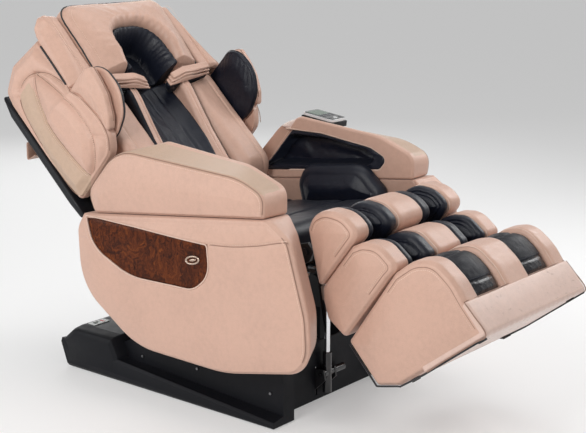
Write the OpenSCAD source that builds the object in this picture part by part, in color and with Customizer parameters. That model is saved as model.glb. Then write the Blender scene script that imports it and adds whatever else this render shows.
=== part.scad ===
// Reclining massage chair on a black floor base, shown half reclined.
// Millimetres. X runs to the sitter's left, -Y to the feet, Z up.
// The origin is the centre of the base on the floor.

/* [Overall] */
// Width over the side shells
chair_w = 910; // [880:2:940]
// Width between the inner faces of the side shells
between_shells_w = 654; // [640:2:664]
// Width over the back wings
back_w = 770; // [750:2:790]
// Width of the leg rest
leg_w = 594; // [570:2:610]
// Width of the base over its foot rails
base_w = 720; // [700:2:740]
// Length of the base
base_len = 980; // [940:2:1000]

/* [Rest pose] */
// Tilt of the seat, front up
seat_pitch = 6.6; // [5:0.2:8]
// Slope of the back above level
back_slope = 43; // [40:0.5:46]
// Slope of the leg rest below level
leg_slope = 36.5; // [34:0.5:39]

/* [Pivots] */
// Seat tilt pivot, behind the origin
tilt_y = -184; // [-200:1:-170]
// Seat tilt pivot, height
tilt_z = 300; // [290:1:310]
// Back hinge behind the tilt pivot
back_hinge_y = 325; // [320:1:335]
// Back hinge above the tilt pivot
back_hinge_z = 239; // [234:1:244]
// Knee hinge in front of the tilt pivot
knee_front = 378; // [374:1:384]
// Knee hinge above the tilt pivot
knee_z = 218; // [214:1:222]
// Diameter of the tilt and back hinge pins
hinge_pin_d = 24; // [20:1:28]
// Diameter of the knee shaft
knee_shaft_d = 25; // [20:1:28]
// Radial running clearance of a pin in its bore
pin_clearance = 0.05; // [0.02:0.01:0.09]

/* [Base] */
// Height of the rubber floor strips
strip_h = 6; // [4:0.5:8]
// Width of one rubber floor strip
strip_w = 40; // [30:1:50]
// Wall of the moulded base cover
cover_wall = 5; // [4:0.5:7]
// Height of the rear deck
deck_h = 152; // [145:1:158]
// Length of the rear deck
deck_len = 262; // [240:2:270]
// Height of the foot rail ridge at the front
rail_front_h = 24; // [20:1:28]
// Height of the foot rail ridge at the rear
rail_rear_h = 100; // [92:1:104]
// Width of one foot rail
rail_w = 52; // [46:1:56]
// Height of the side panels behind the foot rails
panel_h = 208; // [190:1:214]
// Thickness of the front plate
front_plate_t = 6; // [4:0.5:8]
// Setback of the front plate from the base's front
front_plate_setback = 56; // [52:1:62]
// Diameter of a transport wheel
wheel_d = 60; // [54:1:64]
// Width of a transport wheel
wheel_w = 24; // [20:1:28]
// Side of the chassis tubes
chassis_tube = 34; // [30:1:38]

/* [Side shells] */
// Height of the shell's top above the tilt pivot
shell_top = 348; // [344:1:352]
// Wall of a side shell
shell_wall = 24; // [22:1:30]
// Edge rounding of a side shell
shell_edge = 26; // [20:1:32]
// Thickness of the inner lining
lining_t = 8; // [6:0.5:10]
// Depth of the wood inlay in the shell
inlay_t = 7; // [5:0.5:9]

/* [Arms] */
// Thickness of the arm's floor and roof round the forearm space
arm_floor_t = 30; // [26:1:34]
// Depth of the forearm space from the inner face
arm_space_w = 96; // [88:1:100]
// Thickness of the black arm lining
arm_lining_t = 24; // [18:1:28]
// Width of the arm rail
rail_track_w = 40; // [36:1:46]
// Depth of the arm rail
rail_track_h = 12; // [11:0.5:14]

/* [Seat] */
// Thickness of the seat cushion
cushion_t = 86; // [80:1:92]
// Thickness of a hip pad
hip_pad_t = 62; // [54:1:66]
// Height of the seat frame rails
seat_rail_h = 40; // [34:1:44]
// Distance of the seat frame rails from the middle
seat_rail_x = 250; // [246:1:254]

/* [Back] */
// Depth of the rear cover
rear_cover_d = 30; // [26:1:34]
// Thickness of a wing
wing_t = 42; // [36:1:46]
// Distance of the back frame tubes from the middle
back_tube_x = 212; // [208:1:216]
// Side of the back frame tubes
back_tube = 30; // [26:1:32]
// Height of the bolsters above the hinge line
bolster_h = 214; // [204:1:220]
// Half width of the black centre pad
centre_half = 110; // [104:1:116]
// Inner half width of the bolsters
bolster_inner = 174; // [168:1:180]
// Height of the ridges beside the centre pad
ridge_h = 196; // [186:1:204]
// Outer half width of the bolsters
bolster_half = 305; // [298:1:310]
// Thickness of the inner shoulder lobes
lobe_t = 24; // [18:1:26]
// Half width of the head pillow
pillow_half = 248; // [242:1:252]
// Half width of the head recess
recess_half = 150; // [142:1:158]

/* [Leg rest] */
// Thickness of the outer walls
leg_wall = 84; // [78:1:90]
// Thickness of the middle divider
leg_divider = 144; // [136:1:150]
// Height of the well floor above the knee line
well_floor = 70; // [64:1:76]
// Gap between two padded blocks
block_gap = 3; // [2:0.5:4]
// Thickness of the calf pads on the outer walls
calf_pad_outer = 20; // [16:1:24]
// Thickness of the calf pads on the divider
calf_pad_inner = 46; // [40:1:50]
// Thickness of the foot hoods
hood_t = 28; // [24:1:32]
// Diameter of the foot slide tubes
slide_d = 22; // [18:1:24]
// Travel of the foot block
foot_travel = 100; // [80:5:110]

/* [Actuators] */
// Diameter of an actuator's cylinder
cylinder_d = 46; // [40:1:50]
// Diameter of an actuator's rod
rod_d = 18; // [14:1:20]
// Diameter of an actuator's end pins
end_pin_d = 12; // [10:1:14]
// Lever arm of the back
back_lever = 110; // [106:1:114]
// Lever arm of the leg rest
leg_lever = 80; // [76:1:84]

/* [Massage carriage] */
// Distance of the massage rails from the middle
track_x = 125; // [120:1:130]
// Diameter of a massage roller
roller_d = 52; // [46:1:56]
// Width of a massage roller
roller_w = 40; // [34:1:44]
// Place of the carriage along the back
carriage_at = 300; // [280:1:320]

/* [Remote control] */
// Length of the remote control
remote_len = 134; // [126:1:140]
// Width of the remote control
remote_w = 84; // [78:1:86]
// Thickness of the remote control
remote_t = 12; // [10:0.5:14]
// Diameter of the key on the remote control
key_d = 14; // [12:1:18]

/* [Hidden] */
$fn = 48;

// Space left between two pieces that lie against each other
fit = 0.3;
// Chords in one rounded corner
corner_steps = 3;
// Overlap of a cutter past the face it opens
cut = 2;

beige = [0.80, 0.64, 0.56];
black_leather = [0.09, 0.09, 0.12];
black_plastic = [0.07, 0.07, 0.08];
steel = [0.55, 0.56, 0.58];

shell_x = between_shells_w/2;
chair_x = chair_w/2;
back_x = back_w/2;
leg_x = leg_w/2;
base_x = base_w/2;
base_front = -base_len/2;
base_rear = base_len/2;

// ---------- outlines -------------------------------------------------------
// A corner is [along, up, radius]; an outline is a closed list of corners.

function unit(v) = v/norm(v);
function flat2(c) = [c[0], c[1]];
function area_sum(c, i = 0) = i == len(c) ? 0 :
    cross(flat2(c[i]), flat2(c[(i + 1) % len(c)])) + area_sum(c, i + 1);
function ccw(c) = area_sum(c) > 0 ? c : [for (i = [len(c) - 1:-1:0]) c[i]];
function left_normal(p, q) = let (u = unit(flat2(q) - flat2(p))) [-u.y, u.x];

// Corners moved inwards by t, with their radii to match
function inset(c, t) = [for (i = [0:len(c) - 1])
    let (n = len(c), a = c[(i + n - 1) % n], b = c[i], d = c[(i + 1) % n],
         n1 = left_normal(a, b), n2 = left_normal(b, d),
         p = flat2(b) + t*(n1 + n2)/(1 + n1*n2),
         convex = cross(flat2(b) - flat2(a), flat2(d) - flat2(b)) > 0)
    [p.x, p.y, max(0.5, convex ? b.z - t : b.z + t)]];

function corner_arc(a, b, d, r) =
    let (u = unit(flat2(a) - flat2(b)), v = unit(flat2(d) - flat2(b)),
         half = acos(u*v)/2, room = min(norm(flat2(a) - flat2(b)), norm(flat2(d) - flat2(b))),
         radius = min(r, 0.49*room*tan(half)),
         centre = flat2(b) + unit(u + v)*radius/sin(half),
         p = flat2(b) + u*radius/tan(half), q = flat2(b) + v*radius/tan(half),
         start = atan2(p.y - centre.y, p.x - centre.x),
         turn = atan2(q.y - centre.y, q.x - centre.x) - start,
         sweep = turn > 180 ? turn - 360 : turn < -180 ? turn + 360 : turn)
    [for (i = [0:corner_steps]) let (w = start + sweep*i/corner_steps)
        centre + radius*[cos(w), sin(w)]];
function outline(c) = [for (i = [0:len(c) - 1]) let (n = len(c))
    each corner_arc(c[(i + n - 1) % n], c[i], c[(i + 1) % n], c[i].z)];

// A closed solid through rings of points, each with the same number of points
module skin(rings) {
    n = len(rings[0]);
    m = len(rings);
    sides = [for (k = [0:m - 2]) for (i = [0:n - 1])
        let (j = (i + 1) % n) each [
            [k*n + i, (k + 1)*n + i, k*n + j],
            [k*n + j, (k + 1)*n + i, (k + 1)*n + j]]];
    polyhedron(points = [for (r = rings) each r],
        faces = concat([[for (i = [0:n - 1]) i]], sides,
                       [[for (i = [n - 1:-1:0]) (m - 1)*n + i]]), convexity = 6);
}
// A solid through outlines at rising x: layers are [x, corners]
module loft_x(layers) skin([for (l = layers) [for (p = outline(l[1])) [l[0], p.x, p.y]]]);

// Padded slab between x0 and x1 with edges rounded by r0 and r1;
// inner and outer corners may differ, and the outer face swells by crown
module padded(inner, outer, x0, x1, r0, r1, crown = 0) {
    ci = ccw(inner);
    co = ccw(outer);
    bend = [0, 45, 90];
    lower = [for (w = bend) [x0 + r0*(1 - cos(w)), inset(ci, r0*(1 - sin(w)))]];
    upper = [for (w = [90, 45, 0]) [x1 - crown - r1*(1 - cos(w)), inset(co, r1*(1 - sin(w)))]];
    swell = crown > 0 ? [[x1 - crown*0.25, inset(co, r1 + crown*1.6)],
                         [x1, inset(co, r1 + crown*3.4)]] : [];
    loft_x(concat(lower, upper, swell));
}
module slab(corners, x0, x1, r) padded(corners, corners, x0, x1, r, r);
// Straight prism of an outline between x0 and x1
module prism(corners, x0, x1)
    translate([x0, 0, 0]) rotate([90, 0, 90]) linear_extrude(x1 - x0) polygon(outline(ccw(corners)));
// Straight prism of plain points
module bar(points, x0, x1)
    translate([x0, 0, 0]) rotate([90, 0, 90]) linear_extrude(x1 - x0) polygon(points);
module both_sides() {
    children();
    mirror([1, 0, 0]) children();
}
module box(x0, x1, y0, y1, z0, z1)
    translate([x0, y0, z0]) cube([x1 - x0, y1 - y0, z1 - z0]);
// Round bar along x at (y, z)
module pin_x(x0, x1, y, z, d)
    translate([x0, y, z]) rotate([0, 90, 0]) cylinder(h = x1 - x0, d = d);
// Round bar along y at (x, z)
module pin_y(y0, y1, x, z, d)
    translate([x, y0, z]) rotate([-90, 0, 0]) cylinder(h = y1 - y0, d = d);

// ---------- frames ---------------------------------------------------------
// Seat frame: origin at the tilt pivot, Y along the seat to the rear
module in_seat() translate([0, tilt_y, tilt_z]) rotate([-seat_pitch, 0, 0]) children();
// Back frame: origin at the back hinge, Y up along the back, Z towards the sitter
module in_back() in_seat() translate([0, back_hinge_y, back_hinge_z])
    rotate([back_slope + seat_pitch, 0, 0]) children();
// Leg frame: origin at the knee, -Y along the leg to the foot, Z towards the leg
module in_leg() in_seat() translate([0, -knee_front, knee_z])
    rotate([leg_slope + seat_pitch, 0, 0]) children();
// Leg outlines are written as distance down the leg and height
function down(c) = [for (p = c) [-p.x, p.y, p.z]];

// ---------- base -----------------------------------------------------------
cover_bottom = 4;
panel_x = base_x - rail_w;
panel_t = 11;
pillar_w = 53;
pillar_d = 46;
front_plate_y = base_front + front_plate_setback;
deck_front = base_rear - deck_len - 30;
deck_x = panel_x;
post_x = seat_rail_x - 20;
post_t = 12;
lug_t = 12;
tilt_seat_y = base_front + 193;
tilt_seat_z = 147;
tilt_rod_x = -50;
wheel_y = base_rear - 44;
wheel_z = strip_h + wheel_d/2;
wheel_x = 280;
wheel_axle_d = 12;
rear_tube_y = base_rear - 160;

module foot_rail() {
    front = [[base_x - 3, cover_bottom], [base_x, cover_bottom + 4], [base_x, rail_front_h - 8],
             [base_x - 5, rail_front_h], [panel_x, rail_front_h + 8], [panel_x, cover_bottom]];
    rear = [[base_x - 8, cover_bottom], [base_x - 2, cover_bottom + 10], [base_x, rail_rear_h - 12],
            [base_x - 8, rail_rear_h], [panel_x, rail_rear_h - 4], [panel_x, cover_bottom]];
    n = len(front);
    polyhedron(
        points = concat([for (p = front) [p.x, base_front, p.y]],
                        [for (p = rear) [p.x, base_rear - 34 + 34*p.y/rail_rear_h, p.y]]),
        faces = concat([[for (i = [n - 1:-1:0]) i], [for (i = [0:n - 1]) n + i]],
            [for (i = [0:n - 1]) let (j = (i + 1) % n) each [[i, j, n + j], [i, n + j, n + i]]]));
}
deck_corners = [[deck_front, cover_bottom, 0], [base_rear - 38, cover_bottom, 12],
    [base_rear, 100, 20], [base_rear - 62, deck_h, 50], [deck_front + 34, deck_h, 12],
    [deck_front, deck_h - 62, 10]];

module base_cover() color(black_plastic) difference() {
    union() {
        both_sides() {
            foot_rail();
            bar([[base_front + 12, cover_bottom], [deck_front + 40, cover_bottom],
                 [deck_front + 40, panel_h - 90], [deck_front - 138, panel_h], [base_front + 12, panel_h]],
                panel_x - panel_t, panel_x);
            box(panel_x - pillar_w, panel_x, base_front, base_front + pillar_d, cover_bottom, panel_h);
            padded(deck_corners, inset(ccw(deck_corners), 4), deck_x - 1, base_x, 0.6, 22);
        }
        prism(deck_corners, -deck_x, deck_x);
    }
    prism(inset(ccw([[deck_front, -20, 0], [base_rear - 42, -20, 0], [base_rear, 100, 20],
        [base_rear - 62, deck_h, 50], [deck_front + 34, deck_h, 12], [deck_front, deck_h - 62, 10]]), cover_wall),
        -deck_x + panel_t, deck_x - panel_t);
    both_sides() box(post_x - chassis_tube/2 - 1, post_x + chassis_tube/2 + 1, deck_front - cut,
        deck_front + cover_wall + cut, -cut, strip_h + chassis_tube + 2);
    both_sides() box(wheel_x - wheel_w/2 - 4, panel_x - panel_t + 1,
        wheel_y - wheel_d/2 - 5, base_rear + cut, -cut, wheel_z + wheel_d/2 + 5);
    box(inlet_x - inlet_w/2 + 6, inlet_x + inlet_w/2 - 6, inlet_y - inlet_d/2 + 4,
        inlet_y + inlet_d/2 - 4, deck_h - cover_wall - cut, deck_h + cut);
}

module base_chassis() color(steel) {
    t = chassis_tube;
    z0 = strip_h + fit;
    both_sides() {
        box(post_x - t/2, post_x + t/2, base_front + 80, wheel_y - wheel_d/2 - 40, z0, z0 + t);
        difference() {
            union() {
                bar([[tilt_y - 70, z0 + t], [tilt_y + 70, z0 + t],
                     [tilt_y + 24, tilt_z], [tilt_y - 24, tilt_z]], post_x - post_t/2, post_x + post_t/2);
                pin_x(post_x - post_t/2, post_x + post_t/2, tilt_y, tilt_z, 48);
            }
            box(post_x - cut - post_t, post_x + post_t + cut, tilt_y - 34, tilt_y + 34, 90, 210);
        }
        pin_x(post_x + post_t/2, seat_rail_x + lug_t/2 + 6, tilt_y, tilt_z, hinge_pin_d);
        // wheel stub
        pin_x(post_x + t/2, wheel_x + wheel_w/2 + 3, wheel_y, wheel_z, wheel_axle_d);
        box(post_x - t/2, post_x + t/2, wheel_y - wheel_d/2 - 42, wheel_y + 2, z0 + 6, z0 + 6 + t);
    }
    // outriggers that carry the cover
    for (y = [base_front + 80, tilt_y - t/2])
        both_sides() box(post_x + t/2, panel_x - panel_t - fit, y, y + t, z0, z0 + t);
    box(-post_x + t/2, post_x - t/2, base_front + 80, base_front + 80 + t, z0, z0 + t);
    box(-post_x + t/2, post_x - t/2, tilt_y - t/2, tilt_y + t/2, z0, z0 + t);
    box(-post_x + t/2, post_x - t/2, rear_tube_y, rear_tube_y + t, z0, z0 + t);
    // clevis of the tilt actuator, carried through the front plate
    for (side = [-1, 1]) difference() {
        x0 = tilt_rod_x + side*(cylinder_d/2 + 6) - 4;
        bar([[tilt_base_y - 16, tilt_base_z - 16], [base_front + 90, z0],
             [base_front + 90, z0 + t], [front_plate_y, tilt_base_z + 16],
             [tilt_base_y - 10, tilt_base_z + 16]], x0, x0 + 8);
        pin_x(x0 - cut, x0 + 8 + cut, tilt_base_y, tilt_base_z, end_pin_d + 2*pin_clearance);
    }
}

module front_plate() color(black_plastic) difference() {
    box(-panel_x + panel_t + fit, panel_x - panel_t - fit, front_plate_y - front_plate_t,
        front_plate_y, cover_bottom + 4, panel_h);
    for (side = [-1, 1]) box(tilt_rod_x + side*(cylinder_d/2 + 6) - 5, tilt_rod_x + side*(cylinder_d/2 + 6) + 5,
        front_plate_y - front_plate_t - cut, front_plate_y + cut, cover_bottom + 4 + 16, tilt_base_z + 22);
}

module floor_strips() color([0.05, 0.05, 0.05])
    for (y = [base_front + 97, 0, base_rear - 143])
        box(-base_x + 66, base_x - 66, y - strip_w/2, y + strip_w/2, 0, strip_h);

screw_d = 9;
module base_screws() color([0.3, 0.3, 0.32]) both_sides()
    for (at = [[base_front + 52, 96], [tilt_y + 60, 108], [deck_front - 68, 96]])
        pin_x(panel_x + fit/2, panel_x + 4, at[0], at[1], screw_d);

module power_supply() color([0.6, 0.62, 0.64])
    box(-200, -60, deck_front + 40, rear_tube_y - fit, strip_h + 8, 112);
module air_pump() color([0.25, 0.26, 0.28]) {
    box(-20, 180, deck_front + 40, rear_tube_y - fit, strip_h + 8, 86);
    for (x = [30, 130]) translate([x, deck_front + 90, 86]) cylinder(h = 34, d = 62);
}
module control_board() color([0.1, 0.35, 0.2])
    box(-190, 190, rear_tube_y + chassis_tube + fit, rear_tube_y + chassis_tube + 4, 22, deck_h - 22);

inlet_x = -264;
inlet_y = base_rear - 98;
inlet_w = 72;
inlet_d = 34;
inlet_t = 3;
switch_w = 20;
switch_r = 7;
switch_x = inlet_x + 18;
module inlet_plate() color([0.75, 0.78, 0.78]) difference() {
    union() {
        box(inlet_x - inlet_w/2, inlet_x + inlet_w/2, inlet_y - inlet_d/2, inlet_y + inlet_d/2,
            deck_h + fit/2, deck_h + inlet_t);
        box(inlet_x - 29, inlet_x + 29, inlet_y - 12.5, inlet_y + 12.5, deck_h - 20, deck_h + inlet_t);
    }
    box(inlet_x - 26, inlet_x + 4, inlet_y - 10, inlet_y + 10, deck_h - 17, deck_h + inlet_t + cut);
    box(switch_x - switch_r - 0.4, switch_x + switch_r + 0.4, inlet_y - switch_w/2, inlet_y + switch_w/2,
        deck_h - 17, deck_h + inlet_t + cut);
}
// Rocker: a shallow round-backed key that turns about a line along Y
module power_switch() color([0.5, 0.05, 0.05]) {
    intersection() {
        pin_y(inlet_y - switch_w/2 + fit, inlet_y + switch_w/2 - fit, switch_x, deck_h - 2, 2*switch_r);
        box(switch_x - 10, switch_x + 10, inlet_y - switch_w/2, inlet_y + switch_w/2, deck_h - 12, deck_h + 4.5);
    }
}

module wheel(side) color([0.1, 0.1, 0.1]) difference() {
    x0 = side*wheel_x - wheel_w/2;
    pin_x(x0, x0 + wheel_w, wheel_y, wheel_z, wheel_d);
    pin_x(x0 - cut, x0 + wheel_w + cut, wheel_y, wheel_z, wheel_axle_d + 2*pin_clearance);
}
module wheel_left() wheel(1);
module wheel_right() wheel(-1);

// ---------- actuators ------------------------------------------------------
tilt_base_y = tilt_y + tilt_seat_y*cos(seat_pitch) + tilt_seat_z*sin(seat_pitch);
tilt_base_z = 100;
tilt_seat_world_z = tilt_z - tilt_seat_y*sin(seat_pitch) + tilt_seat_z*cos(seat_pitch);
tilt_len = tilt_seat_world_z - tilt_base_z;
open_clearance = 1.5;

tilt_cyl_d = 30;
tilt_cyl_foot = 66;
tilt_cyl_top = 70;
tilt_rod_foot = 22;
module tilt_cylinder() color(black_plastic) difference() {
    union() {
        translate([tilt_rod_x, tilt_base_y, tilt_base_z - tilt_cyl_foot])
            cylinder(h = tilt_cyl_foot + tilt_cyl_top, d = tilt_cyl_d);
        pin_x(tilt_rod_x - cylinder_d/2 - 14, tilt_rod_x + cylinder_d/2 + 60, tilt_base_y, tilt_base_z,
            end_pin_d);
        pin_x(tilt_rod_x - cylinder_d/2, tilt_rod_x + cylinder_d/2, tilt_base_y, tilt_base_z, 26);
        pin_x(tilt_rod_x + cylinder_d/2 + 11, tilt_rod_x + cylinder_d/2 + 62, tilt_base_y, tilt_base_z, 24);
    }
    translate([tilt_rod_x, tilt_base_y, tilt_base_z - tilt_cyl_foot + 8])
        cylinder(h = tilt_cyl_foot + tilt_cyl_top, d = rod_d + 2*pin_clearance);
}
module tilt_rod() color([0.85, 0.86, 0.88]) difference() {
    union() {
        translate([tilt_rod_x, tilt_base_y, tilt_base_z - tilt_rod_foot])
            cylinder(h = tilt_len + tilt_rod_foot - 12, d = rod_d);
        pin_x(tilt_rod_x - 9, tilt_rod_x + 9, tilt_base_y, tilt_base_z + tilt_len, 30);
    }
    pin_x(tilt_rod_x - 10, tilt_rod_x + 10, tilt_base_y, tilt_base_z + tilt_len,
        end_pin_d + 2*open_clearance);
}

recline_x = 70;
recline_z = back_hinge_z - back_lever;
recline_front = -80;
recline_rear = 200;
module in_recline() in_seat() translate([recline_x, 0, recline_z]) children();
module recline_cylinder() color(black_plastic) in_recline() difference() {
    pin_y(recline_front, recline_rear, 0, 0, cylinder_d);
    pin_y(recline_front + 14, recline_rear + cut, 0, 0, rod_d + 2*pin_clearance);
}
module recline_rod() color([0.85, 0.86, 0.88]) in_recline() {
    pin_y(recline_front + 70, back_hinge_y - 36, 0, 0, rod_d);
    difference() {
        box(-16, 16, back_hinge_y - 38, back_hinge_y + 12, -12, 12);
        box(-6, 6, back_hinge_y - 28, back_hinge_y + 12 + cut, -14, 14);
    }
    pin_x(-16, 16, back_hinge_y, 0, end_pin_d);
}

leg_rod_x = -110;
leg_act_z = knee_z - leg_lever;
leg_cyl_rear = -40;
leg_cyl_front = -280;
// Lead of the lever: the middle of the leg rest's swing is this far above the rest pose
lever_lead = 3.25;
leg_pin_y = -knee_front + leg_lever*tan(lever_lead);
module in_leg_act() in_seat() translate([leg_rod_x, 0, leg_act_z]) children();
module leg_cylinder() color(black_plastic) in_leg_act() difference() {
    pin_y(leg_cyl_front, leg_cyl_rear, 0, 0, cylinder_d);
    pin_y(leg_cyl_front - cut, leg_cyl_rear - 14, 0, 0, rod_d + 2*pin_clearance);
}
module leg_rod() color([0.85, 0.86, 0.88]) in_leg_act() {
    pin_y(leg_pin_y + 44, leg_cyl_rear - 70, 0, 0, rod_d);
    difference() {
        box(-16, 16, leg_pin_y - 12, leg_pin_y + 46, -12, 12);
        box(-6, 6, leg_pin_y - 12 - cut, leg_pin_y + 36, -14, 14);
    }
    pin_x(-16, 16, leg_pin_y, 0, end_pin_d);
}

// ---------- seat -----------------------------------------------------------
rail_z0 = 165;
rail_z1 = rail_z0 + seat_rail_h;
cross_tube = 30;
cross_front = tilt_seat_y - 3;
cross_mid = -60;
cross_rear = 170;

module hinge_lug(y, z, bore, from) difference() {
    x0 = seat_rail_x - lug_t/2;
    union() {
        pin_x(x0, x0 + lug_t, y, z, bore + 34);
        bar([[y - 40, from], [y + 40, from], [y + bore/2 + 14, z], [y - bore/2 - 14, z]], x0, x0 + lug_t);
    }
    pin_x(x0 - cut, x0 + lug_t + cut, y, z, bore + 2*pin_clearance);
}
module seat_frame() color(steel) in_seat() {
    rw = 24;
    both_sides() {
        box(seat_rail_x - rw/2, seat_rail_x + rw/2, -knee_front + 34, back_hinge_y - 34, rail_z0, rail_z1);
        hinge_lug(0, 0, hinge_pin_d, rail_z0);
        difference() {
            x0 = seat_rail_x - lug_t/2;
            bar([[-knee_front - 30, knee_z], [-knee_front - 12, knee_z - 30], [-knee_front + 44, rail_z0],
                 [-knee_front + 44, rail_z1], [-knee_front + 20, knee_z + 24], [-knee_front - 12, knee_z + 28]],
                x0, x0 + lug_t);
            pin_x(x0 - cut, x0 + lug_t + cut, -knee_front, knee_z, knee_shaft_d + 2*pin_clearance);
        }
        difference() {
            x0 = seat_rail_x - lug_t/2;
            bar([[back_hinge_y - 44, rail_z0], [back_hinge_y + 12, back_hinge_z - 30],
                 [back_hinge_y + 30, back_hinge_z], [back_hinge_y + 12, back_hinge_z + 28],
                 [back_hinge_y - 20, back_hinge_z + 24], [back_hinge_y - 44, rail_z1]], x0, x0 + lug_t);
            pin_x(x0 - cut, x0 + lug_t + cut, back_hinge_y, back_hinge_z, hinge_pin_d + 2*pin_clearance);
        }
        for (y = [cross_front, cross_rear])
            box(seat_rail_x + rw/2, shell_x - fit, y - cross_tube/2, y + cross_tube/2, rail_z0, rail_z1);
    }
    for (y = [cross_front, cross_mid, cross_rear])
        box(-seat_rail_x + rw/2, seat_rail_x - rw/2, y - cross_tube/2, y + cross_tube/2, rail_z0, rail_z1);
    // saddles of the two actuators
    for (s = [[recline_x, cross_mid, recline_z], [recline_x, cross_rear, recline_z],
              [leg_rod_x, cross_mid, leg_act_z], [leg_rod_x, cross_front + 24, leg_act_z]]) difference() {
        box(s[0] - 18, s[0] + 18, s[1] - 9, s[1] + 9, s[2], rail_z0);
        pin_y(s[1] - 9 - cut, s[1] + 9 + cut, s[0], s[2], cylinder_d + 2*fit);
    }
    // ears and pin of the tilt actuator's upper end
    for (x0 = [tilt_rod_x - 19, tilt_rod_x + 11])
        bar([[tilt_seat_y - 14, rail_z0], [tilt_seat_y + 14, rail_z0],
             [tilt_seat_y + 9, tilt_seat_z - 10], [tilt_seat_y - 9, tilt_seat_z - 10]], x0, x0 + 8);
    pin_x(tilt_rod_x - 19, tilt_rod_x + 19, tilt_seat_y, tilt_seat_z, end_pin_d);
    // bearer between the front cross tube and the leg actuator's saddle
    box(leg_rod_x - 18, leg_rod_x + 18, cross_front + cross_tube/2, cross_front + 33, rail_z0, rail_z1 - 20);
}

cushion_x = shell_x - hip_pad_t - 3*fit - 2;
cushion_corners = [[-325, rail_z1 + fit, 24], [-327, rail_z1 + cushion_t + 2, 34],
    [-40, rail_z1 + cushion_t - 14, 300], [285, rail_z1 + cushion_t - 4, 30], [283, rail_z1 + fit, 18]];
module seat_cushion() color(black_leather) in_seat() slab(cushion_corners, -cushion_x, cushion_x, 22);

hip_corners = [[84, 342, 40], [42, 403, 50], [-206, 404, 60], [-292, 312, 50], [-276, 262, 30], [70, 236, 30]];
module hip_pads() color(black_leather) both_sides() in_seat()
    slab(hip_corners, shell_x - fit - hip_pad_t, shell_x - fit, 20);

shell_outer = [[-395, shell_top + 6, 40], [-472, 290, 60], [-514, 60, 250], [-504, -108, 110],
    [-160, -141, 500], [222, -90, 300], [456, 100, 250], [442, 300, 60], [402, shell_top + 3, 24]];
shell_inner = [[-392, shell_top + 6, 30], [-422, 290, 60], [-468, 60, 200], [-452, -94, 100],
    [-160, -132, 500], [212, -80, 300], [438, 100, 240], [428, 300, 60], [392, shell_top + 3, 24]];
inlay_corners = [[386, 343, 6], [352, 236, 150], [200, 150, 300], [-82, 122, 90], [-158, 172, 110],
    [-158, 268, 10], [-40, 284, 500], [150, 312, 500]];
module side_shell() in_seat() difference() {
    padded(shell_inner, shell_outer, shell_x + lining_t, chair_x, 4, shell_edge, 10);
    prism(inset(ccw(shell_inner), shell_wall), shell_x, chair_x - 24);
    prism(inlay_corners, chair_x - inlay_t, chair_x + cut);
    box(arm_mid - rail_track_w/2, arm_mid + rail_track_w/2, -arm_rail_len/2, arm_rail_len/2,
        shell_top - rail_track_h, shell_top + 40);
    // flat seat for the arm
    box(shell_x, chair_x + cut, -500, 470, shell_top, shell_top + 40);
}
module side_shell_left() color(beige) side_shell();
module side_shell_right() color(beige) mirror([1, 0, 0]) side_shell();
module side_linings() color(beige) both_sides() in_seat()
    prism(inset(ccw(shell_inner), 6), shell_x, shell_x + lining_t - fit);
module wood_inlays() color([0.28, 0.12, 0.06]) both_sides() in_seat()
    prism(inset(ccw(inlay_corners), fit), chair_x - inlay_t + fit, chair_x);
ring_w = 62;
ring_h = 30;
ring_t = 4;
module badge_rings() color([0.85, 0.8, 0.75]) both_sides() in_seat()
    translate([chair_x + fit, -92, 218]) rotate([90, 0, 90]) rotate(-6) linear_extrude(ring_t) difference() {
        polygon([for (w = [0:15:345]) [ring_w/2*cos(w), ring_h/2*sin(w)]]);
        polygon([for (w = [0:15:345]) [(ring_w/2 - 8)*cos(w), (ring_h/2 - 7)*sin(w)]]);
    }

// ---------- arms -----------------------------------------------------------
arm_rail_len = 500;
arm_runner_len = 300;
arm_mid = (shell_x + chair_x)/2;
track_wall = 3;
arm_floor = shell_top + 1;
slide_fit = 0.2;

module track(length, x, w, h) {
    // channel with inward lips, open upwards
    lip = 5;
    translate([x, length/2, 0]) rotate([90, 0, 0]) linear_extrude(length) polygon([
        [-w/2, 0], [w/2, 0], [w/2, h], [w/2 - track_wall - lip, h], [w/2 - track_wall - lip, h - track_wall],
        [w/2 - track_wall, h - track_wall], [w/2 - track_wall, track_wall], [-w/2 + track_wall, track_wall],
        [-w/2 + track_wall, h - track_wall], [-w/2 + track_wall + lip, h - track_wall],
        [-w/2 + track_wall + lip, h], [-w/2, h]]);
}
module arm_rails() color(steel) both_sides() in_seat()
    translate([0, 0, shell_top - rail_track_h + fit])
        track(arm_rail_len - 2*fit, arm_mid, rail_track_w - 2*fit, rail_track_h - 2*fit);
module arm_runner() color([0.7, 0.7, 0.72]) in_seat() {
    w = rail_track_w - 2*fit - 2*track_wall - 2*slide_fit;
    z0 = shell_top - rail_track_h + fit + track_wall + slide_fit;
    z1 = shell_top - fit - track_wall - slide_fit;
    neck = w - 10 - 2*slide_fit;
    box(arm_mid - w/2, arm_mid + w/2, -arm_runner_len/2, arm_runner_len/2, z0, z1);
    box(arm_mid - neck/2, arm_mid + neck/2, -arm_runner_len/2, arm_runner_len/2, z1, arm_floor + 6);
}
module arm_runner_left() arm_runner();
module arm_runner_right() mirror([1, 0, 0]) arm_runner();

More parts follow.
